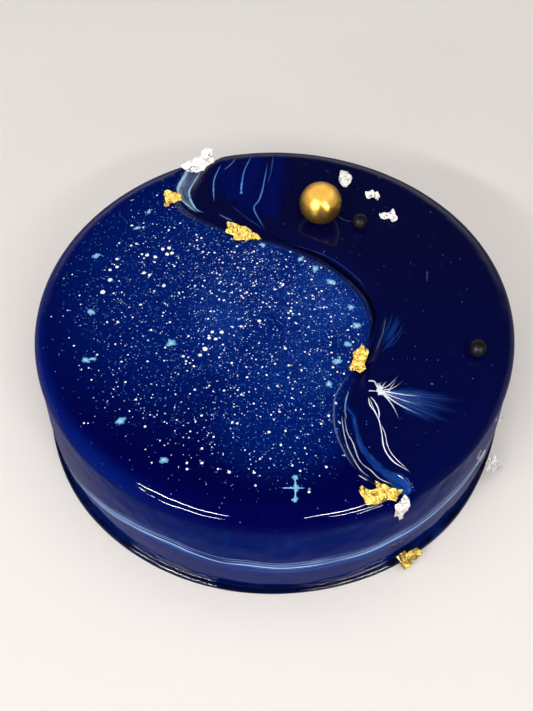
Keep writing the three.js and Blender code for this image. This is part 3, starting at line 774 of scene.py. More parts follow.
def strand(film, noted, width, tint, cover=1.0, lift=0.05, lanes=5, taper=(0.25, 0.25), last=1.0, soft=1):
    """Adds one strip. Its width runs evenly through one or more widths, and shrinks to nothing over the
    taper shares at its two ends as the square root of the share. Its height over the skin is lift times
    1 - k^2, where k runs from -1 to 1 across it. Its cover is cover times 1 - k^2 to the power soft, and
    changes evenly from its whole value at the start to the share last at the end."""
    stations = seen_on_skin(noted)
    length = np.linalg.norm(np.diff(stations, axis=0), axis=1).sum()
    share = np.linspace(0, 1, max(int(length / STRAND_STEP), 8))
    path = spline(stations, share)
    along = np.gradient(path, axis=0)
    along /= np.linalg.norm(along, axis=1, keepdims=True)
    widths = np.atleast_1d(np.asarray(width, float))
    wide = np.interp(share, np.linspace(0, 1, len(widths)), widths)
    run = share * length
    fast, slow = STRAND_WAVES
    wobble = 1 + STRAND_WOBBLE * np.sin(run * fast + draws.random() * 6) * np.sin(run * slow)
    ends = np.clip(share / taper[0], 0, 1) * np.clip((1 - share) / taper[1], 0, 1)
    half = (wide / 2 * wobble * np.sqrt(ends) + LEAST_HALF_WIDTH)[:, None]
    k = np.linspace(-1, 1, lanes)[None, :]
    x = path[:, :1] - along[:, 1:] * half * k
    y = path[:, 1:] + along[:, :1] * half * k
    fade = cover * (1 - k * k) ** soft * (np.minimum(1, 2 * ends) * (1 + (last - 1) * share))[:, None]
    place = (run[:, None], half * k, draws.random() * PATTERN_SHIFT)
    add_to_film(film, x, y, lift * (1 - k * k), tint, fade, place, False)


def splat(film, noted, size, tint, cover=1.0, arms=5, stretch=1.0, turn=0.0, lift=0.08):
    """Adds one splat, a low dome. At each angle its outline is size times the core's share plus one bell for
    each arm, of random height, width and angle, and it is drawn out by stretch along the direction turn."""
    middle = seen_on_skin([noted])[0]
    angle = np.linspace(0, FULL_TURN, SPLAT_POINTS, endpoint=False)[None, :]
    outline = np.full(angle.shape, SPLAT_CORE)
    for arm in range(arms):
        aim = FULL_TURN * (arm + draws.uniform(-ARM_STRAY, ARM_STRAY)) / arms
        away = (angle - aim + math.pi) % FULL_TURN - math.pi
        outline += draws.uniform(*ARM_HEIGHTS) * np.exp(-(away / draws.uniform(*ARM_WIDTHS)) ** 2)
    share = np.linspace(0.02, 1, SPLAT_RINGS)[:, None]
    u = share * outline * size * np.cos(angle) * stretch
    v = share * outline * size * np.sin(angle)
    x = middle[0] + u * math.cos(turn) - v * math.sin(turn)
    y = middle[1] + u * math.sin(turn) + v * math.cos(turn)
    dome = 1 - share ** 2
    place = (u, v, draws.random() * PATTERN_SHIFT)
    add_to_film(film, x, y, lift * dome, tint, cover * dome ** 0.7, place, True)


# %% Film of strands
def make_film(name, film_tone, grain, patchy):
    """Thin glaze whose colour and cover are stored on its mesh, broken into threads along each strand. The
    grain is the number of threads to a millimetre, and patchy the share that is left between them."""
    material, tree, shader, place = new_material(name)
    drawn = stretched(tree, attribute(tree, "place", "Vector"), (grain * 0.1, grain, 1.0))
    threads = noise(tree, drawn, 1.0, 4, 0.6)
    tint = attribute(tree, "tint", "Color")
    bright = ramp(tree, add_node(tree, "ShaderNodeRGBToBW", {0: tint}).outputs[0], 0.0, 0.15)
    lighter = times(tree, ramp(tree, threads, 0.45, 0.8, 0.0, 0.35), bright)
    set_inputs(shader, {
        "Base Color": blend(tree, lighter, tint, film_tone),
        "Alpha": times(tree, attribute(tree, "cover"), ramp(tree, threads, 0.25, 0.55, patchy, 1.0)),
        "Specular IOR Level": mirror_level(tree, split(tree, place)),
        "IOR": GLAZE_IOR,
        **coated(tree, place, 110, *GLAZE_COAT),
    })
    return material


def film_piece(name, film, material):
    """Joins a film's parts into one mesh with its attributes."""
    piece = mesh_object(name, np.concatenate(film["points"]) * MM, film["faces"])
    for key in ("tint", "cover", "place"):
        add_attribute(piece, key, np.concatenate(film[key]))
    finish_piece(piece, material, "mirror_glaze")


# This film is marbled glaze, and in the channel it also carries painted highlights, reflections and shade.
marbled = make_film("marbled glaze", tone(205, 218, 240), 1.7, 0.6)
veiled = make_film("veiled glaze", tone(30, 70, 160), 0.35, 0.35)

# %% [markdown]
# At its front end the channel is a deep spoon with marbling along both banks: a bright blue ribbon on the
# starry side, that widens into a pool at the rim, and beside it a double white line, and on the night side a
# double line that forks into a loop. Both double lines are painted highlights drawn as white strands. Higher
# up the channel is a thin black line, painted shade, between a plum one and a blue one, which are painted
# reflections along its edges. At the back rim it is filled by a pale band, with a light blue line along each
# of its edges, all painted reflections of the pale wall behind.

# %% Marbling and painted light in the channel
WHITE = tone(236, 240, 250)
ICE = tone(160, 204, 236)
STEEL = tone(96, 116, 166)
BRIGHT_BLUE = tone(2, 58, 152)
POOL_BLUE = tone(6, 88, 180)
GREY = tone(92, 100, 134)
PAINTED_REFLECTION_PLUM = tone(54, 54, 100)
PAINTED_SHADE_BLACK = tone(2, 2, 10)
PAINTED_REFLECTION_PALE = tone(84, 102, 142)
QUIET_BLUE = tone(22, 44, 130)
VEIL_BLUE = tone(3, 15, 92)
SKY = tone(70, 130, 214)
STREAK_BLUE = tone(24, 76, 176)
STREAK_END = tone(90, 170, 236)

RIBBON = (
    (25.3, -41.6), (24.7, -46.6), (26.8, -50.7), (27.4, -55.6), (28.7, -63), (31.1, -67.3), (34.4, -71.8),
    (38.5, -75.5), (42, -78.5), (43.7, -80.7),
)
CHANNEL_STRANDS = (  # path, widths, tint, and then cover, lift, lanes and tapers where they aren't as usual
    # the ribbon on the starry bank, its pool at the rim and the white lines along it, which are painted
    # highlights
    (RIBBON, (1.2, 1.8, 2.6, 3.4), BRIGHT_BLUE, 0.85, 0.03, 9),
    (RIBBON[-4:], (2.5, 4.5, 3.5), POOL_BLUE, 0.9, 0.005, 9),
    (((22.9, -50.7), (23.2, -56.7), (24.2, -63), (25.8, -67.6), (28.1, -72.2), (31, -75.1)),
     (0.45, 0.6, 0.5), WHITE, 1.9, 0.07),
    (((23.9, -50.7), (24.4, -57.5), (26.1, -61.9), (28, -68.8), (31.2, -72.2), (34.1, -75.5), (38.3, -77.7)),
     (0.4, 0.55, 0.5), WHITE, 1.9, 0.07),
    (((27, -74), (28.6, -75.1), (30.1, -76.2)), 0.5, WHITE, 0.8),
    # the lines of the night bank and their loop, painted highlights drawn as white strands
    (((32.9, -43.3), (34, -47.5), (35.6, -52.8), (36.1, -57.6), (36.4, -63.5), (38.1, -67.7), (40.5, -70.3),
      (44.5, -73.4)), (0.3, 0.4, 0.4), WHITE, 1.7),
    (((32.7, -43.3), (33, -46.6), (34.5, -49.5), (35.5, -52.8)), 0.45, WHITE, 1.5),
    (((33.3, -43.1), (34.8, -45.4), (35.9, -49.1), (35.5, -53.2)), 0.45, WHITE, 1.5),
    (((36.1, -54.5), (37.2, -58), (37.7, -63), (39.6, -67.4), (43.9, -72.8)), 0.3, WHITE, 1.3),
    # the grey line outside the starry bank, a painted reflection on its rounded edge, and a light blue one
    # inside it
    (((27.3, -32.6), (23.4, -38.2), (21, -43.7), (20.4, -48.6), (20.1, -53.5), (20.9, -58.7), (22.3, -63.4),
      (24.4, -68.4), (26.8, -72.5)), (0.6, 0.9, 0.7), STEEL, 0.75),
    (((26.1, -40.3), (24.8, -44.5), (24.2, -48.7), (24.6, -52.7)), 0.5, ICE, 0.8),
    # the black line higher up is painted shade, between a plum one and a blue one that are painted
    # reflections
    (((-5.3, 38.4), (4, 32.1), (11.1, 27.7), (19.3, 22.8), (24.9, 17.4), (30.4, 11.1), (33.9, 5.5), (36.6, 0),
      (37.6, -6.4), (37.2, -10.7), (35.7, -16.4), (34.7, -19.6)), 1.5, PAINTED_SHADE_BLACK, 0.95, 0.01, 7),
    (((-4.9, 32.7), (8.6, 26.1), (18.3, 19), (26.6, 12.7), (31.3, 7.5), (34.7, 1), (35.7, -6.4),
      (35.6, -12.1), (34.4, -18.2)), (1.1, 0.8, 0.8), PAINTED_REFLECTION_PLUM, 0.7),
    (((3.6, 32.1), (20.9, 23.8), (31.7, 13.2), (35.8, 5)), 0.6, QUIET_BLUE, 0.8),
    # the pale band at the back rim and the lines in it, painted reflections of the pale wall behind
    (((-33.2, 79), (-34.4, 72.2), (-36.5, 66.2), (-37.6, 61), (-36, 55.8), (-33.2, 51.3), (-30, 48.3)),
     (8, 7, 4.5, 1.5), PAINTED_REFLECTION_PALE, 0.9, 0.01, 13, (0.05, 0.3)),
    (((-34, 78), (-35.4, 72.2), (-37.6, 66.4), (-38.6, 61), (-36.6, 55.6), (-33.6, 51.6)),
     (0.8, 1.6, 1.2), WHITE, 0.7, 0.01, 7, (0.4, 0.4)),
    (((-36, 77), (-37.2, 72.2), (-39.2, 66.5), (-40, 61), (-37.6, 55.5), (-34.5, 51.9), (-31.4, 48.3)),
     (1.6, 1.3, 0.7), ICE, 1.3, 0.05, 5, (0.05, 0.4)),
    (((-30.5, 77), (-31.6, 72.1), (-33.9, 65.9), (-35.3, 60.9), (-34.4, 56.1), (-31.9, 50.7), (-28.5, 48.3)),
     (0.9, 1.2, 0.6), ICE, 1.1, 0.05, 5, (0.05, 0.4)),
)
channel_strands_and_painted_light = new_film()
for values in CHANNEL_STRANDS:
    strand(channel_strands_and_painted_light, *values)
film_piece("channel_marbling", channel_strands_and_painted_light, marbled)

# %% [markdown]
# The night lobe isn't plain either. Wide veils of a lighter blue lie in it at the back, and light blue
# streaks run down through them, one of which ends in a drop. Beside the channel's narrowest place hangs a
# bundle of faint wisps. The veils and wisps are a film of their own, because their threads are coarser.

# %% Streaks of the night lobe
night_film = new_film()
veil_film = new_film()
for veil in (((-4, 88), (-9, 74), (-11, 58), (-6, 44)), ((-18, 84), (-19, 68), (-15, 54)),
             ((4, 86), (1, 70), (-2, 56), (2, 42))):
    strand(veil_film, veil, (14, 22, 12), VEIL_BLUE, 0.75, 0.01, 17, soft=2)
strand(night_film, ((-22.3, 78.1), (-25, 67.7), (-24.6, 54.8)), (0.4, 0.6, 0.8), SKY, 1.3)
strand(night_film, ((-8.8, 83.6), (-11.8, 75.2), (-13, 67), (-13.3, 59.6)), (0.4, 0.6, 1.3), SKY, 1.6)
splat(night_film, (-13.2, 60.4), 1.0, STREAK_END, arms=4, stretch=1.6, turn=1.5)
strand(night_film, ((-1.8, 80.9), (-4, 63.8), (-5.7, 55.9), (-7.8, 51.7), (-6.5, 46.4), (-3.3, 38.3)),
       (0.8, 0.8, 0.6), SKY)
strand(night_film, ((0.5, 84), (-0.5, 74), (-2, 66)), 0.7, STREAK_BLUE, 0.6)
strand(night_film, ((-15.6, 82.3), (-17.9, 78.4), (-20.9, 74.6)), 0.7, STEEL, 0.7)
strand(night_film, ((-22.3, 47.7), (-19.5, 45.4), (-16.4, 43.6)), 0.7, STEEL, 0.7)
strand(night_film, ((-17.8, 53), (-12.8, 47.6), (-9.6, 44.1), (-3.3, 38.3)), 0.6, QUIET_BLUE, 0.8)
strand(night_film, ((42, -7.4), (39.8, -15.9), (36.5, -24.2)), 0.5, STEEL, 0.6)
strand(night_film, ((46.8, -8.4), (43, -16.9), (39.1, -24.2)), 0.5, QUIET_BLUE, 0.8)
WISPS = 16
WISP_LEANS = (-1.5, 7)
WISP_DROPS = (0, 10)
WISP_WIDTHS = (0.25, 0.8)
WISP_COVERS = (0.15, 0.5)
for _ in range(WISPS):
    lean = draws.uniform(*WISP_LEANS)
    drop = draws.uniform(*WISP_DROPS)
    wisp = ((43 + lean, -3 - drop), (41 + lean * 0.7, -10 - drop), (37.5 + lean * 0.4, -18 - drop * 0.6))
    width = draws.uniform(*WISP_WIDTHS)
    strand(veil_film, wisp, width, STREAK_BLUE, draws.uniform(*WISP_COVERS), 0.01, 5, (0.6, 0.6))
strand(night_film, ((60.1, 16.1), (59.4, 9.9)), 0.5, STEEL, 0.5)
strand(night_film, ((26.9, 46.2), (29.2, 43.9), (32.8, 42.7)), 0.35, GREY, 0.8)
print("strands in the night lobe:", len(night_film["faces"]))

# %% [markdown]
# Beside the channel a drop of white glaze burst as it fell. Its middle is a small white splat, and rays leave
# it: short ones up and to the left, long thin ones to the right and down, with a faint blue fan between them.

# %% The white splash
SPLASH = (38, -41)
FAN_RAYS = 11
FAN_STEP = 4.2  # degrees from ray to ray, clockwise
FAN_REACHES = (17, 25, 30)
for number in range(FAN_RAYS):
    aim = math.radians(-2 - FAN_STEP * number)
    reach = FAN_REACHES[number % len(FAN_REACHES)]
    x = reach * math.cos(aim)
    y = reach * math.sin(aim)
    ray = (SPLASH, (SPLASH[0] + x / 2, SPLASH[1] + y * 0.45), (SPLASH[0] + x, SPLASH[1] + y * 0.8))
    strand(veil_film, ray, (0.8, 4.2, 4.4), STREAK_BLUE, 0.5, 0.02, 9, (0.05, 0.5), 0.0)
    strand(night_film, ray, (0.3, 0.4), STEEL, 0.7, 0.03, 5, (0.05, 0.6), 0.0)
film_piece("night_lobe_veils", veil_film, veiled)
SPLASH_RAYS = (  # path and width
    (((37.6, -39.8), (40.4, -38.3), (44.6, -33.6)), 0.4),
    (((38, -40.4), (41.6, -39.6), (45.8, -36.4)), 0.4),
    (((36.6, -40), (35.6, -37.9), (35.2, -35.8)), 0.56),
    (((37.4, -40.2), (38.3, -38.4), (39.8, -36.4)), 0.56),
    (((33.1, -36.5), (35.5, -37), (36.9, -40.6)), 0.64),
    (((32.8, -40.8), (34.9, -40.8), (37.3, -40.8)), 0.56),
    (((36.8, -41), (39.5, -41.2), (41.4, -38.7), (43.5, -35.5)), 0.72),
    (((36.6, -40.4), (36.3, -38), (38.6, -37.2)), 0.64),
    (((37, -41), (43.4, -46.7), (50.9, -51.3)), 0.8),
    (((37, -40.6), (45.6, -42.5), (51.9, -43)), 0.72),
    (((37.4, -41), (40.7, -46.7), (42.8, -53.2)), 0.64),
    (((37, -41), (44.5, -44.6), (52.5, -47.5)), 0.48),
)
for ray, width in SPLASH_RAYS:
    strand(night_film, ray, width, WHITE, 1.8, 0.06, 5, (0.05, 0.9), 0.2)
splat(night_film, (36.9, -40.8), 1.9, WHITE, 1.5, arms=9)
splat(night_film, (37, -39), 1.1, WHITE, 1.5, arms=6)
splat(night_film, (55.6, -37.9), 0.9, STEEL, 0.5)
film_piece("night_lobe_streaks", night_film, marbled)

# %% [markdown]
# The stars are cocoa butter flicked from a brush. Most are dots well under a millimetre, thickest in the
# middle of the starry lobe and thinning out to its edges, with hardly any on the night lobe. They are drawn
# at random: many places are tried, and a place keeps its dot with the density there as its chance. A dot is
# an eight-sided lens of sixteen faces, because there are thousands of them.

# %% White specks
SPECK_TRIES = 23000
SPECK_REACH = 85
SPECK_FADE = (66, 84)  # distances from the axis between which they thin out
SPECK_SHORE = (2, 7)  # distances from the channel's line between which they thin out
SPECK_CHANCES = (0.04, 0.02, 0.01)  # of a dot inside the fade, on all of the starry lobe, and anywhere
SPECK_CLOUDS = ((-1, -8, 56, 60, 0.42), (-12, 20, 42, 20, 0.3))  # x, y, two widths and the chance of a dot
SPECK_SIDES = 8
SPECK_HEIGHT = 0.06
SPECK_EDGE = (0.85, 1.15)  # how uneven the edge is, as shares of the radius
LEAST_SPECK = 0.1
SPECK_GROWTH = ((0.14, 3), (0.36, 14))  # added to the radius by a random number to a power
NIGHT_SPECK = 0.13  # the largest radius on the night lobe
SPECK_WHITENESS = (0.4, 9, 0.14)  # share drawn at random, gain with each millimetre, radius where it starts
BIG_RADII = (0.55, 1.0)
FRONT_SPECKS = (-50, 0.55)  # where the big ones get smaller, and to what share
BIG_SPECKS = np.array([
    (-44.1, 28), (-41.7, 28.6), (-42.3, 25.3), (-40.3, 25.8), (-46.8, 23.7), (-50.2, 24.8), (-50.6, 15.3),
    (-48.4, 14.2), (-61.5, 18.5), (-64.1, 16.9), (-61.9, 22.7), (-63.5, 11.7), (-42.4, 8.7), (-65.6, 5.6),
    (6.4, -4.3), (-5.6, -9), (-19.5, -14.2), (-23, -14.1), (-24.1, -16.9), (-21.6, -17.4), (-25.3, -22),
    (-27, -24.7), (-2.2, -57.4), (1.8, -62.5), (-29.5, -69.2), (-24.5, -69.2), (-29.3, -71.5), (-19.1, -71.5),
    (-24.7, -63.7), (-5.2, -67.8), (-15.4, -72.7), (10.7, -80.1),
])


def speck_density(x, y):
    """Chance of a dot: two soft bells in the middle and the upper part of the starry lobe, faded at the rim
    and at the channel, and a trace everywhere."""
    side, _ = channel_at(x[None], y[None])
    inside, lobe_wide, anywhere = SPECK_CHANCES
    chances = inside
    for middle_x, middle_y, across, along, chance in SPECK_CLOUDS:
        chances = chances + chance * np.exp(-((x - middle_x) / across) ** 2 - ((y - middle_y) / along) ** 2)
    faded = np.clip(chances, 0, 1) * (1 - smooth(np.hypot(x, y), *SPECK_FADE))
    return (faded + lobe_wide) * smooth(-side[0], *SPECK_SHORE) + anywhere


def speck_places():
    """Middles and radii of the random dots and of the bigger ones."""
    reach = SPECK_REACH * np.sqrt(draws.random(SPECK_TRIES))
    turn = FULL_TURN * draws.random(SPECK_TRIES)
    tried = np.stack([reach * np.cos(turn), reach * np.sin(turn)], 1)
    kept = tried[draws.random(SPECK_TRIES) < speck_density(tried[:, 0], tried[:, 1])]
    small = LEAST_SPECK
    for growth, power in SPECK_GROWTH:
        small = small + growth * draws.random(len(kept)) ** power
    side, _ = channel_at(kept[None, :, 0], kept[None, :, 1])
    small = np.where(side[0] > 0, np.minimum(small, NIGHT_SPECK), small)
    front, share = FRONT_SPECKS
    big = draws.uniform(*BIG_RADII, len(BIG_SPECKS)) * np.where(BIG_SPECKS[:, 1] < front, share, 1)
    return np.concatenate([kept, BIG_SPECKS]), np.concatenate([small, big])


def make_specks():
    """The dots as lenses with a slightly uneven edge: a ring on the skin, a pole above it and one below."""
    middles, size = speck_places()
    angle = np.linspace(0, FULL_TURN, SPECK_SIDES, endpoint=False)
    edge = size[:, None] * draws.uniform(*SPECK_EDGE, (len(size), SPECK_SIDES))
    x = middles[:, :1] + edge * np.cos(angle)
    y = middles[:, 1:] + edge * np.sin(angle)
    ring = np.stack([x, y, skin_height(x, y) + FILM_CLEARANCE], -1)
    top = skin_height(middles[:, :1], middles[:, 1:]) + SPECK_HEIGHT
    poles = [np.concatenate([middles[:, None], z[..., None]], -1) for z in (top, top - 2 * SPECK_HEIGHT)]
    points = np.concatenate([ring, *poles], 1).reshape(-1, 3)
    first = np.arange(len(size))[:, None] * (SPECK_SIDES + 2)
    side = np.arange(SPECK_SIDES)
    after = (side + 1) % SPECK_SIDES
    upper = np.stack(np.broadcast_arrays(first + SPECK_SIDES, first + side, first + after), -1)
    lower = np.stack(np.broadcast_arrays(first + SPECK_SIDES + 1, first + after, first + side), -1)
    faces = [upper.reshape(-1, 3), lower.reshape(-1, 3)]
    piece = mesh_object("white_specks", points * MM, faces, smooth=False)
    drawn, gain, start = SPECK_WHITENESS
    whiteness = np.clip(drawn * draws.random(len(size)) + gain * (size - start), 0, 1)
    add_attribute(piece, "whiteness", np.repeat(whiteness, SPECK_SIDES + 2))
    print("specks:", len(size))
    return piece


def make_speck_butter():
    """Cocoa butter, from light blue to white by a number that each dot carries, mottled by a fine cloud."""
    material, tree, shader, place = new_material("speck butter")
    share = times(tree, attribute(tree, "whiteness"), ramp(tree, noise(tree, place, 900), 0.2, 0.5, 0.8, 1.0))
    colour = blend(tree, share, tone(84, 128, 206), tone(254, 255, 255))
    set_inputs(shader, {"Base Color": colour, **coated(tree, place, 800, 0.15, 0.3, 0.2, 0.0001)})
    return material


finish_piece(make_specks(), make_speck_butter(), "mirror_glaze")

# %% [markdown]
# Some drops of light blue butter are bigger. Each is a splat with a smaller, paler one on it, and its random
# arms make it look flicked. One drop near the front rim was drawn out into a cross, with a knot at most of
# its tips. Short thin strokes lie among the dots.

# %% Blue stars
STAR_BLUE = tone(130, 200, 244)
STAR_PALE = tone(208, 232, 248)
BLUE_STARS = (  # place, size, arms, stretch, turn in radians
    ((-70.4, 24.4), 1.5, 5, 1.9, 0.2), ((-69, -4.3), 2, 5, 1.1, 0.7), ((-68.4, -26.7), 1.9, 6, 1.2, 0.1),
    ((-65.8, -26.2), 1.2, 4, 1.9, 0.2), ((-37.9, -19.2), 2.4, 4, 1.2, 0.6),
    ((-53.3, -52.7), 1.9, 5, 1.3, 0.9), ((-37.2, -68), 1.8, 6, 1, 0.3), ((-55.5, 39.8), 1.5, 4, 2, 0.5),
    ((-51.3, 49.1), 1.3, 5, 1.3, 1.2), ((-4.1, 30), 1.7, 5, 1.3, 2.6), ((10.7, 22.3), 1.8, 6, 1.2, 0.4),
    ((16.3, 16.9), 1.9, 5, 1.2, 1.9), ((22.2, 10.1), 2.3, 4, 1.4, 2.5), ((29.2, -2.5), 1.8, 5, 1.1, 1.4),
    ((30.8, -11.6), 2.3, 6, 1, 0.8), ((26.8, -20), 1.8, 5, 1.2, 1), ((22.9, -27.7), 1.9, 6, 1.2, 0.2),
    ((19.2, -37.7), 1.8, 5, 1.2, 1.5),
)
star_film = new_film()
for place, size, arms, stretch, turn in BLUE_STARS:
    splat(star_film, place, size, STAR_BLUE, 1.0, arms, stretch, turn)
    splat(star_film, place, size * 0.5, STAR_PALE, 0.9, arms, 1.0, turn + 0.5, 0.1)

# %% The four-armed star and the short strokes
FOUR_ARMED = (6.4, -78.7)
FOUR_ARMS = (  # tip from the middle, widths
    ((-0.2, 4.1), (1.3, 0.5, 0.9)), ((-0.3, -4.3), (1.3, 0.5, 0.9)), ((-4.6, 0.1), (0.7, 0.3)),
    ((3, 0), (0.7, 0.3)),
)
KNOTS = ((-0.2, 3.9, 1.4), (-0.3, -4.2, 1.3), (0, 0, 1.6), (4.4, -0.4, 0.6))  # from the middle, and size
STROKES = 150
STROKE_BLUE = tone(84, 144, 216)
STROKE_REACH = 62
STROKES_MIDDLE = (-8, -4)
STROKE_LENGTHS = (0.7, 2.2)
STROKE_WIDTHS = (0.14, 0.28)
STROKE_COVERS = (0.25, 0.7)
STROKE_SHORE = 6  # the least distance from the channel's line

for (across, along), width in FOUR_ARMS:
    tip = (FOUR_ARMED[0] + across, FOUR_ARMED[1] + along)
    strand(star_film, (FOUR_ARMED, tip), width, STAR_BLUE, 1.6, taper=(0.02, 0.2))
for across, along, size in KNOTS:
    splat(star_film, (FOUR_ARMED[0] + across, FOUR_ARMED[1] + along), size, STAR_BLUE, arms=6)
for _ in range(STROKES):
    distance = STROKE_REACH * math.sqrt(draws.random())
    turn = FULL_TURN * draws.random()
    heading = math.pi * draws.random()
    start = STROKES_MIDDLE + distance * np.array([math.cos(turn), math.sin(turn)])
    end = start + draws.uniform(*STROKE_LENGTHS) * np.array([math.cos(heading), math.sin(heading)])
    if channel_at(start[:1], start[1:])[0][0] < -STROKE_SHORE:
        width = draws.uniform(*STROKE_WIDTHS)
        strand(star_film, (start, end), width, STROKE_BLUE, draws.uniform(*STROKE_COVERS), 0.03, 3)
film_piece("blue_stars", star_film, marbled)

# %% [markdown]
# The ball is hollow chocolate rolled in gold powder: nearly round, satin, with a faint unevenness from the
# hand. The pearls are sugar shells with a soft black gloss. Each is a grid of angles round and down, and a
# few sines dent it by a hundredth of its radius at most.

# %% Ball and pearls
CONTACT_GAP = 0.12
BALL = (19.2, 44.9, 8.5)  # x, y, radius
BALL_GRID = (96, 48, 0.006)  # points round and down, and the depth of its dents as a share of the radius
PEARLS = ((35.2, 39.8, 3.04), (73.2, -24.6, 3.15))
PEARL_GRID = (64, 32, 0.01)
# The ball's colour where the glaze mirrors it: a painted shade for its underside.
MIRRORED_SHADE_TONE = tone(112, 76, 34)


def round_body(name, x, y, radius, around, down, dent):
    """A ball on the top: its radius at the angles a round and b down is radius times
    1 - dent (1 + sin(3a + 2 cos 2b) sin(5b)) / 2."""
    a = np.linspace(0, FULL_TURN, around, endpoint=False)[None, :]
    b = np.linspace(0, math.pi, down)[1:-1, None]
    uneven = radius * (1 - dent * (1 + np.sin(3 * a + 2 * np.cos(2 * b)) * np.sin(5 * b)) / 2)
    height = CAKE_HEIGHT + CONTACT_GAP + radius
    centre = np.array([x, y, height])
    grid = np.stack([uneven * np.sin(b) * np.cos(a), uneven * np.sin(b) * np.sin(a), uneven * np.cos(b)], -1)
    points, faces = capped_grid(grid + centre, centre + (0, 0, radius), centre - (0, 0, radius))
    return mesh_object(name, points * MM, faces)


def make_gold_paint():
    """Gold powder rubbed on chocolate: satin metal with slightly browner, duller clouds. Seen by glossy rays
    it is painted brown, a painted shade for its unlit underside as the glaze mirrors it."""
    material, tree, shader, place = new_material("gold paint")
    worn = ramp(tree, noise(tree, place, 160, 5, 0.65), 0.35, 0.75)
    gold = blend(tree, worn, tone(250, 196, 88), tone(236, 172, 70))
    # Painted shade: seen by glossy rays the ball takes the brown tone, so its image in the glaze is dark.
    mirrored = add_node(tree, "ShaderNodeLightPath").outputs["Is Glossy Ray"]
    set_inputs(shader, {
        "Base Color": blend(tree, mirrored, gold, MIRRORED_SHADE_TONE),
        "Metallic": 0.95,
        **coated(tree, place, 300, 0.28, 0.33, 0.05, 0.0001),
    })
    return material


def make_black_shell():
    """Black sugar shell: near-black with a greyer bloom, and a soft gloss."""
    material, tree, shader, place = new_material("black shell")
    bloom = ramp(tree, noise(tree, place, 380, 4, 0.6), 0.4, 0.8)
    colour = blend(tree, bloom, tone(13, 13, 17), tone(30, 29, 33))
    set_inputs(shader, {"Base Color": colour, **coated(tree, place, 700, 0.4, 0.5, 0.2, 0.0001)})
    return material


gold_ball = round_body("satin_gold_ball", *BALL, *BALL_GRID)
finish_piece(gold_ball, make_gold_paint(), "gold_paint", "gold_ball")
black_shell = make_black_shell()
for number, pearl in enumerate(PEARLS, 1):
    piece = round_body(f"sugar_pearl_{number}", *pearl, *PEARL_GRID)
    finish_piece(piece, black_shell, "black_shell", f"black_pearl_{number}")

# %% [markdown]
# Metal leaf tears and crumples as it is laid down with tweezers. Each sheet starts from its torn outline, a
# few corners in its own plan, round the cake and outwards. The plan is wrapped over the cake's outline or on
# a slope at its foot, then folded: broad creases, which the solid has too, and on them three finer sets that
# make the metal glitter. The sheet gets two faces and a rim, so that it is closed.

# %% Torn outlines
LEAF_THICKNESS = 0.08
CREASE_HEIGHT = 1.1
CREASE_FOLDS = (0.6, 0.85, 1.1)  # radians to a millimetre of the three sets of creases
CRINKLES = ((2.1, 0.30), (3.7, 0.16), (6.3, 0.08))  # radians to a millimetre and height of the fine folds
CRINKLE_CURVE = 0.7
TEAR_STEP = 0.4
TEAR_DEPTH = 0.13
LEAF_RINGS = 15

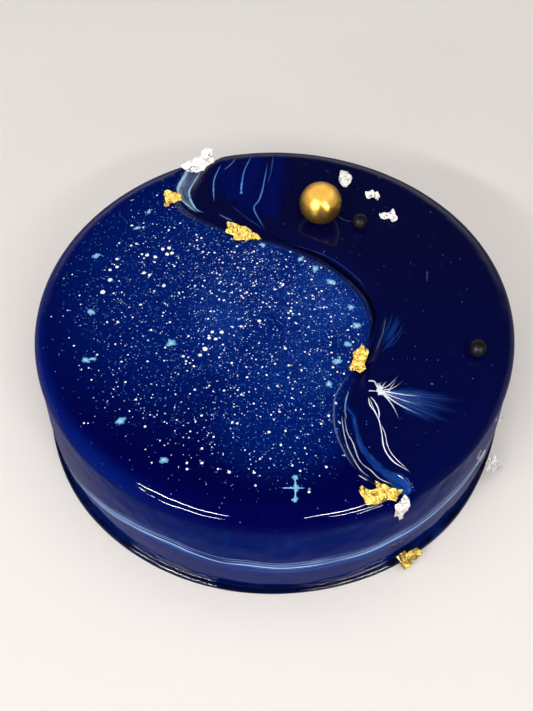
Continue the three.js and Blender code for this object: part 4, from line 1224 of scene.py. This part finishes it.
LYING_LEAF = (  # name, azimuth, reach of the middle along the outline, how far it stands up, corners
    ("gold_leaf_1", 126.6, 70.1, 0.5, (
        (0.6, 4.9), (-0.6, 4.8), (-1.8, 2.7), (-3.4, 1.3), (-3.9, -1.3), (-2.6, -2.3), (-1.8, -3.4),
        (0.5, -2.9), (2.9, -2.3), (4.2, -3.1), (6, -1.9), (4.8, -0.6), (3.7, -0.4), (3, 1.6), (2, 3.6),
    )),
    ("gold_leaf_2", 108.7, 38.1, 0.4, (
        (3.6, 7.8), (0.8, 5), (0.3, 3.4), (-1.9, 3), (-3.2, 1.1), (-3.6, -1.3), (-5, -1.9), (-5.9, -3.5),
        (-6.8, -6), (-3.1, -5), (0.3, -4.6), (3.2, -3.6), (5.9, -2.6), (4, -0.2), (6.3, 2.5), (5.7, 3.8),
        (4.4, 4.5), (4.2, 6.6),
    )),
    ("gold_leaf_3", -41.8, 40.9, 0.4, (
        (5.1, -0.9), (5.6, 0.1), (4.1, 1.2), (1.2, 2.3), (-1.2, 3.3), (-2, 5), (-3.4, 4.6), (-4.5, 4.8),
        (-5, 2.8), (-6.4, 0.9), (-5.2, 0.2), (-3.7, -0.7), (-1.1, -1.5), (0, -3.1), (3, -2.9),
        (6.4, -2.6),
    )),
    ("gold_leaf_4", -67.4, 87.2, 0.5, (
        (-3.3, -3), (-2.2, -2.1), (-0.3, -2.2), (0.2, -4.3), (2.6, -2.5), (4.3, -0.9), (7.7, 1.1),
        (5.3, 2.6), (4.1, 3.4), (2.2, 2.2), (0.1, 2.1), (-2.2, 2.1), (-5.4, 1.1), (-5.8, -0.9),
        (-6.5, -3), (-5, -4.3),
    )),
    ("silver_leaf_1", 111.5, 83.5, 5.2, (
        (8.8, 1.4), (6.3, 2.5), (4.1, 2.7), (1.4, 3.2), (-1.2, 3.3), (-2, 5.1), (-3.5, 5.6), (-6.5, 4.5),
        (-5.8, 3.2), (-6.2, -0.4), (-3.9, -1.8), (-1.2, -3.2), (1.2, -4.8), (4.2, -4.4), (8, -2.6),
        (8.4, -0.4),
    )),
    ("silver_leaf_2", 65.5, 74.4, 0.3, (
        (3.1, 3.3), (0.9, 4.1), (-0.7, 3.1), (-2.8, 1.7), (-3.4, -1.9), (-2.7, -4.8), (-0.3, -4.9),
        (2.2, -2), (2.7, 1.1),
    )),
    ("silver_leaf_3", 54.2, 71.5, 0.3, (
        (2.2, 0.4), (1.3, 2), (-0.5, 1.2), (-1.2, 2.3), (-3.4, 0.7), (-3.8, -1.7), (-1.8, -1.5),
        (-0.5, -1.4), (-0.3, -3.6), (1.6, -2.9), (3.3, -0.3),
    )),
    ("silver_leaf_4", 43.8, 65.7, 0.4, (
        (2.3, 0.1), (0.8, 1.5), (0.7, 3.8), (-1, 2.8), (-3.2, 2.2), (-4.4, 0.5), (-3.8, -1.6),
        (-1.6, -1.2), (-0.1, -2.7), (1.2, -3.5), (3.1, -2.3),
    )),
    ("silver_leaf_5", -63.3, 96, 1, (
        (2.1, 2.9), (0.8, 4.9), (0.4, 9.1), (-1.2, 3.3), (-2.7, 2.1), (-2.8, -2.3), (-2.4, -4),
        (-0.4, -5), (1.5, -6.4), (2.4, -4.9), (2.9, -1.6),
    )),
    ("silver_leaf_6", -23.5, 113.2, 0.6, (
        (1.5, -0.6), (1.2, 0.9), (-0.9, 1.1), (-1.6, -0.8), (-0.2, -1.3),
    )),
)
LEANING_LEAF = (  # name, azimuth, height where it starts, radius where it would stand, corners
    ("gold_leaf_5", -59.5, 9.6, 98, (
        (5.3, 0.9), (4.6, 2.5), (2.2, 2.4), (1.2, 2.3), (-0.1, 3.7), (-2.6, 4.6), (-4, 1.3), (-4, -0.5),
        (-5.2, -3.9), (-1.5, -4.9), (-0.4, -2), (0.7, -3.4), (3.4, -2.9),
    )),
    ("silver_leaf_7", -28.2, 12, 100.6, (
        (-1.3, -7), (2.1, -4.9), (2.8, 0.1), (1.6, 1.5), (3, 4.6), (1.4, 4.9), (-0.9, 1.4), (-3.8, -0.9),
        (-5.6, -4.5), (-3.7, -5.2), (-4.6, -7.2),
    )),
)
LEAN_WALL_GAP = 0.5
LEAN_GROUND_GAP = 0.4
print("leaves:", len(LYING_LEAF) + len(LEANING_LEAF))


# %% Crumpled sheets
def scatter(seed, step):
    """A repeatable number from 0 to 1: the digits after the point of a large multiple of a sine."""
    value = math.sin(seed * 12.9898 + step * 78.233) * 43758.5453
    return value - math.floor(value)


def fold_set(u, v, heading, rate, start, curve=0):
    """A set of folds that heads one way: the size of a sine of the distance along the heading."""
    along = u * math.cos(heading) + v * math.sin(heading) + curve
    return np.abs(np.sin(along * rate + start))


def folds(seed, u, v):
    """Height of the crumpled sheet: the mean of three sets of broad folds that head different ways, plus
    finer and curved sets."""
    height = 0
    for fold, rate in enumerate(CREASE_FOLDS):
        heading = math.pi * scatter(seed, fold + 41)
        start = FULL_TURN * scatter(seed, fold + 51)
        height = height + CREASE_HEIGHT / len(CREASE_FOLDS) * fold_set(u, v, heading, rate, start)
    for rate, size in CRINKLES:
        heading, start, bend = draws.random(3) * math.pi
        curve = CRINKLE_CURVE * np.sin(bend + 1.3 * v + np.sin(u + bend))
        height = height + size * fold_set(u, v, heading, rate, start, curve)
    return height


def torn_outline(corners):
    """Points round the outline from corner to corner, a short step apart and each moved a little at random.
    The corners run clockwise seen from above, so they are turned round."""
    corners = np.array(corners, float)[::-1]
    ways = np.roll(corners, -1, axis=0) - corners
    counts = np.ceil(np.linalg.norm(ways, axis=1) / TEAR_STEP).astype(int)
    number = np.arange(counts.sum()) - np.repeat(np.cumsum(counts) - counts, counts)
    share = number / np.repeat(counts, counts)
    points = np.repeat(corners, counts, axis=0) + np.repeat(ways, counts, axis=0) * share[:, None]
    return points + draws.uniform(-TEAR_DEPTH, TEAR_DEPTH, points.shape)


def profile_at(reach):
    """Radius, height, outward and upward lean of the cake's outline at a reach along the top and over the
    shoulder: flat, then a quarter of an ellipse, then straight down."""
    turned = np.clip((reach - FLAT_RADIUS) / SHOULDER_ARC, 0, 1) * math.pi / 2
    below = np.maximum(reach - FLAT_RADIUS - SHOULDER_ARC, 0)
    height = SHOULDER_FOOT + SHOULDER_DROP * np.cos(turned) - below
    flare = wall_radius(height) - WALL_RADIUS
    radius = np.minimum(reach, FLAT_RADIUS) + SHOULDER_WIDTH * np.sin(turned) + flare
    out = np.sin(turned) / SHOULDER_WIDTH
    up = np.cos(turned) / SHOULDER_DROP
    size = np.hypot(out, up)
    return radius, height, out / size, up / size


def round_the_axis(away, turn, height):
    """Points at a distance from the cake's axis, an angle round it and a height."""
    return np.stack([away * np.cos(turn), away * np.sin(turn), height], -1)


def lying_place(azimuth, reach, stand, corners):
    """A function that wraps the leaf's plan over the cake's outline, with its outer part standing up."""
    centre_radius = profile_at(reach)[0]
    outermost = max(outwards for _, outwards in corners)

    def place(u, v, lift):
        radius, height, out, up = profile_at(reach + v)
        turn = math.radians(azimuth) + u / centre_radius
        raised = CONTACT_GAP + lift
        standing = stand * np.maximum(0, v / outermost) ** 2
        return round_the_axis(radius + raised * out, turn, height + raised * up + standing)

    return place


def leaning_place(azimuth, top, tip):
    """A function that lays the leaf's plan on a slope from the wall to the ground."""
    upper = np.array([wall_radius(top) + LEAN_WALL_GAP, top])
    lower = np.array([tip, LEAN_GROUND_GAP])
    down = (lower - upper) / np.linalg.norm(lower - upper)
    middle = (upper + lower) / 2

    def place(u, v, lift):
        turn = math.radians(azimuth) + u / WALL_RADIUS
        away = middle[0] + down[0] * v - down[1] * lift
        return round_the_axis(away, turn, middle[1] + down[1] * v + down[0] * lift)

    return place


def crumpled_sheet(name, seed, corners, place):
    """The sheet as a closed body: its upper face from the middle to the rim, then its lower face back."""
    outline = torn_outline(corners)
    share = np.linspace(0.03, 1, LEAF_RINGS)[:, None, None]
    u, v = np.moveaxis(share * outline, -1, 0)
    height = folds(seed, u, v)
    pole = float(height[0].mean())
    sides = np.concatenate([place(u, v, height + LEAF_THICKNESS), place(u, v, height)[::-1]])
    points, faces = capped_grid(sides, place(0, 0, pole + LEAF_THICKNESS), place(0, 0, pole))
    return mesh_object(name, points * MM, faces, smooth=False)


# %% [markdown]
# Gold and silver leaf are the same thing in two metals: a foil whose gloss changes from fold to fold, and
# whose creases are painted darker, a painted shade. That part is a node group that both share. The metal is
# mixed with some plain colour, because leaf this thin and this crumpled scatters light like paint.

# %% Node group for foil, and the two leaves
def make_foil():
    """A cloud is folded at its middle value, which makes sharp valleys. They give the share of the painted
    crease shade and a height, and the cloud itself gives a gloss."""
    group, inputs, results = new_group("foil", {"Grain": 500.0}, ("Crease", "Gloss", "Height"))
    cloud = noise(group, inputs["Place"], inputs["Grain"], 3.0)
    patches = noise(group, inputs["Place"], times(group, inputs["Grain"], 0.6), 2.0)
    valley = away_from(group, cloud, 0.5)
    # Painted shade: the sheet is darkened along the valleys, where the creases are.
    crease_shade = times(group, ramp(group, valley, 0.0, 0.05, 1.0, 0.0), ramp(group, patches, 0.42, 0.58))
    gloss = ramp(group, cloud, 0.3, 0.7, 0.22, 0.45)
    set_inputs(results, {"Crease": crease_shade, "Gloss": gloss, "Height": valley})
    return group


foil = make_foil()


def make_leaf(name, bright, dark, grain, metallic):
    """Leaf of one metal: bright on its faces, with painted shade in its creases."""
    material, tree, shader, place = new_material(name)
    sheet = add_node(tree, "ShaderNodeGroup", {"Place": place, "Grain": grain}, node_tree=foil).outputs
    set_inputs(shader, {
        "Base Color": blend(tree, sheet["Crease"], bright, dark),
        "Metallic": metallic,
        "Roughness": sheet["Gloss"],
        "Normal": bump(tree, sheet["Height"], 0.8, 0.0008),
    })
    return material


# The second tone of each leaf is the painted shade in its creases.
gold_leaf = make_leaf("gold leaf", tone(255, 224, 122), tone(150, 72, 0), 420, 0.93)
silver_leaf = make_leaf("silver leaf", tone(252, 247, 243), tone(62, 58, 62), 460, 0.35)
sheets = [(name, corners, lying_place(*where, corners)) for name, *where, corners in LYING_LEAF]
sheets += [(name, corners, leaning_place(*where)) for name, *where, corners in LEANING_LEAF]
for seed, (name, corners, place) in enumerate(sheets, 1):
    piece = crumpled_sheet("crumpled_" + name, seed, corners, place)
    metal = gold_leaf if name.startswith("gold") else silver_leaf
    finish_piece(piece, metal, name[:-2], name)

# %% [markdown]
# The light is the studio itself. Windows in front, left and right, show in the glaze as a few thin slanting
# bars, which give the white lines along the front rim. All else in front and overhead is dim, which is why
# the top looks like deep water, and a pale wall low behind puts a veil of light on the back rim. Each bar is
# two panels, one for the mirror images and one for the light that it sheds, so that the lines on the rim can
# be as bright as real windows without burning out the floor. A soft light from above that glossy surfaces
# don't mirror keeps the shadows weak. Soft boxes that only the metal mirrors make the leaf and the ball glow.

# %% Floor
FLOOR_TONE = tone(240, 233, 228)
FLOOR_MOTTLE = tone(236, 229, 224)
# The tones below are painted reflections: the floor as the glaze mirrors it, darker than the floor itself,
# least so near the cake and behind it.
MIRRORED_NEAR = tone(138, 134, 138)
MIRRORED_FAR = tone(56, 54, 62)
MIRRORED_BACK = tone(108, 106, 128)
MIRROR_FADE = (0.101, 0.113)  # distances from the cake's axis
BACK_GLOW = (-0.075, -0.02)  # distances to the back between which the mirrored floor gets light again
FLOOR_HALF_WIDTH = 3.0


def make_floor():
    """A pale smooth floor with a hardly visible mottling. Seen by glossy rays it is painted darker, a painted
    reflection that fades away from the cake in front and is lighter behind it, or the whole wall would look
    milky."""
    material, tree, shader, place = new_material("pale floor")
    mottled = blend(tree, noise(tree, place, 6, 3), FLOOR_TONE, FLOOR_MOTTLE)
    from_axis = add_node(tree, "ShaderNodeVectorMath", {0: place}, operation="LENGTH").outputs["Value"]
    mirror_tone = blend(tree, ramp(tree, from_axis, *MIRROR_FADE), MIRRORED_NEAR, MIRRORED_FAR)
    mirror_tone = blend(tree, ramp(tree, split(tree, place)["Y"], *BACK_GLOW), mirror_tone, MIRRORED_BACK)
    mirrored = add_node(tree, "ShaderNodeLightPath").outputs["Is Glossy Ray"]
    colour = blend(tree, mirrored, mottled, mirror_tone)
    set_inputs(shader, {"Base Color": colour, "Roughness": 1.0, "Specular IOR Level": 0.0})
    corners = FLOOR_HALF_WIDTH * np.array([(-1, -1, 0), (1, -1, 0), (1, 1, 0), (-1, 1, 0)])
    floor = mesh_object("floor", corners, [np.array([[0, 1, 2, 3]])], smooth=False)
    floor.data.materials.append(material)
    floor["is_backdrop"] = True


make_floor()

# %% Surroundings
WALL_TONE = tone(240, 236, 240)
WALL_BRIGHTNESS = 0.6
OVERHEAD_BRIGHTNESS = 0.025
SEEN_BRIGHTNESS = 0.85
WALL_ELEVATIONS = (math.radians(8), math.radians(36))  # where the pale wall ends upwards
WALL_BREADTH = (0.45, 0.98)  # how far back a direction has to point


def make_surroundings():
    """A world that is pale low behind and dim everywhere else. What the camera sees directly is plain
    pale."""
    world = bpy.data.worlds.new("studio")
    world.use_nodes = True
    tree = world.node_tree
    way = split(tree, add_node(tree, "ShaderNodeTexCoord").outputs["Generated"])
    low = ramp(tree, way["Z"], *(math.sin(elevation) for elevation in WALL_ELEVATIONS), 1.0, 0.0)
    share = times(tree, low, ramp(tree, way["Y"], *WALL_BREADTH))
    brightness = ramp(tree, share, 0, 1, OVERHEAD_BRIGHTNESS, WALL_BRIGHTNESS)
    seen = add_node(tree, "ShaderNodeLightPath").outputs["Is Camera Ray"]
    missing = sum_of(tree, "SUBTRACT", SEEN_BRIGHTNESS, brightness)
    direct = sum_of(tree, "MULTIPLY_ADD", seen, missing, brightness)
    set_inputs(tree.nodes["Background"], {"Color": WALL_TONE, "Strength": direct})
    bpy.context.scene.world = world


make_surroundings()

# %% Windows and fill light
WINDOW_DISTANCE = 1.5
WINDOW_BARS = (  # azimuth and elevation of a bar's middle, its width, height and slant, all in degrees
    (-128.5, 36, 38, 1.0, 0), (-122, 17, 25, 0.8, 4), (-139, 22, 8, 0.6, -30),
    (-66, 37, 30, 0.8, 2), (-60, 22, 20, 0.6, -26), (-57, 9, 12, 0.5, 0),
)
MIRRORED_RADIANCE = 150.0
SHED_RADIANCE = 102.0
FILL_LIGHT = (-90, 80, 2.0, 3.2, 3.2, 1.35)  # azimuth, elevation, distance, width, height and radiance
SOFT_BOXES = (  # what mirrors it, and then the same
    ("crumpled_", 90, 76, 1.0, 1.9, 1.7, 1.85), ("satin_gold", 90, 76, 1.0, 3.4, 2.6, 1.0),
    ("satin_gold", 180, 22, 1.0, 2.6, 0.8, 0.6), ("satin_gold", 0, 22, 1.0, 2.6, 0.8, 0.5),
)


def add_panel(name, azimuth, elevation, distance, width, height, radiance, mirrored, slant=0):
    """A panel that faces the cake. Its power is pi times its area times its radiance. It is an ellipse that
    only glossy surfaces mirror, so that its image tapers, or a rectangle that only sheds light."""
    light = bpy.data.lights.new(name, "AREA")
    light.shape = "ELLIPSE" if mirrored else "RECTANGLE"
    light.size = width
    light.size_y = height
    light.energy = math.pi * width * height * radiance * (math.pi / 4 if mirrored else 1)
    panel = bpy.data.objects.new(name, light)
    turned = math.radians(azimuth)
    raised = math.radians(elevation)
    way = Vector((math.cos(raised) * math.cos(turned), math.cos(raised) * math.sin(turned), math.sin(raised)))
    facing = way.to_track_quat("Z", "Y").to_matrix().to_4x4() @ Matrix.Rotation(math.radians(slant), 4, "Z")
    panel.matrix_world = Matrix.Translation(way * distance) @ facing
    panel.visible_glossy = mirrored
    panel.visible_diffuse = not mirrored
    panel.visible_camera = False
    bpy.context.scene.collection.objects.link(panel)
    return panel


def mirror_only_in(panel, starts):
    """Lets a panel light only the pieces whose names start in one way."""
    pieces = bpy.data.collections.new("mirroring_" + panel.name)
    for item in bpy.data.objects:
        if item.name.startswith(starts):
            pieces.objects.link(item)
    panel.light_linking.receiver_collection = pieces


for number, (azimuth, elevation, across, high, slant) in enumerate(WINDOW_BARS, 1):
    width = 2 * WINDOW_DISTANCE * math.tan(math.radians(across / 2)) * math.cos(math.radians(elevation))
    height = 2 * WINDOW_DISTANCE * math.tan(math.radians(high / 2))
    bar = (azimuth, elevation, WINDOW_DISTANCE, width, height)
    add_panel(f"window_bar_{number}_mirrored", *bar, MIRRORED_RADIANCE, True, slant)
    add_panel(f"window_bar_{number}_shed", *bar, SHED_RADIANCE, False, slant)
add_panel("fill", *FILL_LIGHT, False)
for number, (starts, *box) in enumerate(SOFT_BOXES, 1):
    mirror_only_in(add_panel(f"soft_box_{number}", *box, True), starts)
print("lights:", len(bpy.data.lights))

# %% Size of the model and of the scene
visual_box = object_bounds()
corners = {"cad": model_box, "visual": visual_box}
{name: [list(corner) for corner in box] for name, box in corners.items()}
print("size", [round((high - low) / MM, 1) for low, high in zip(*visual_box)], "mm")
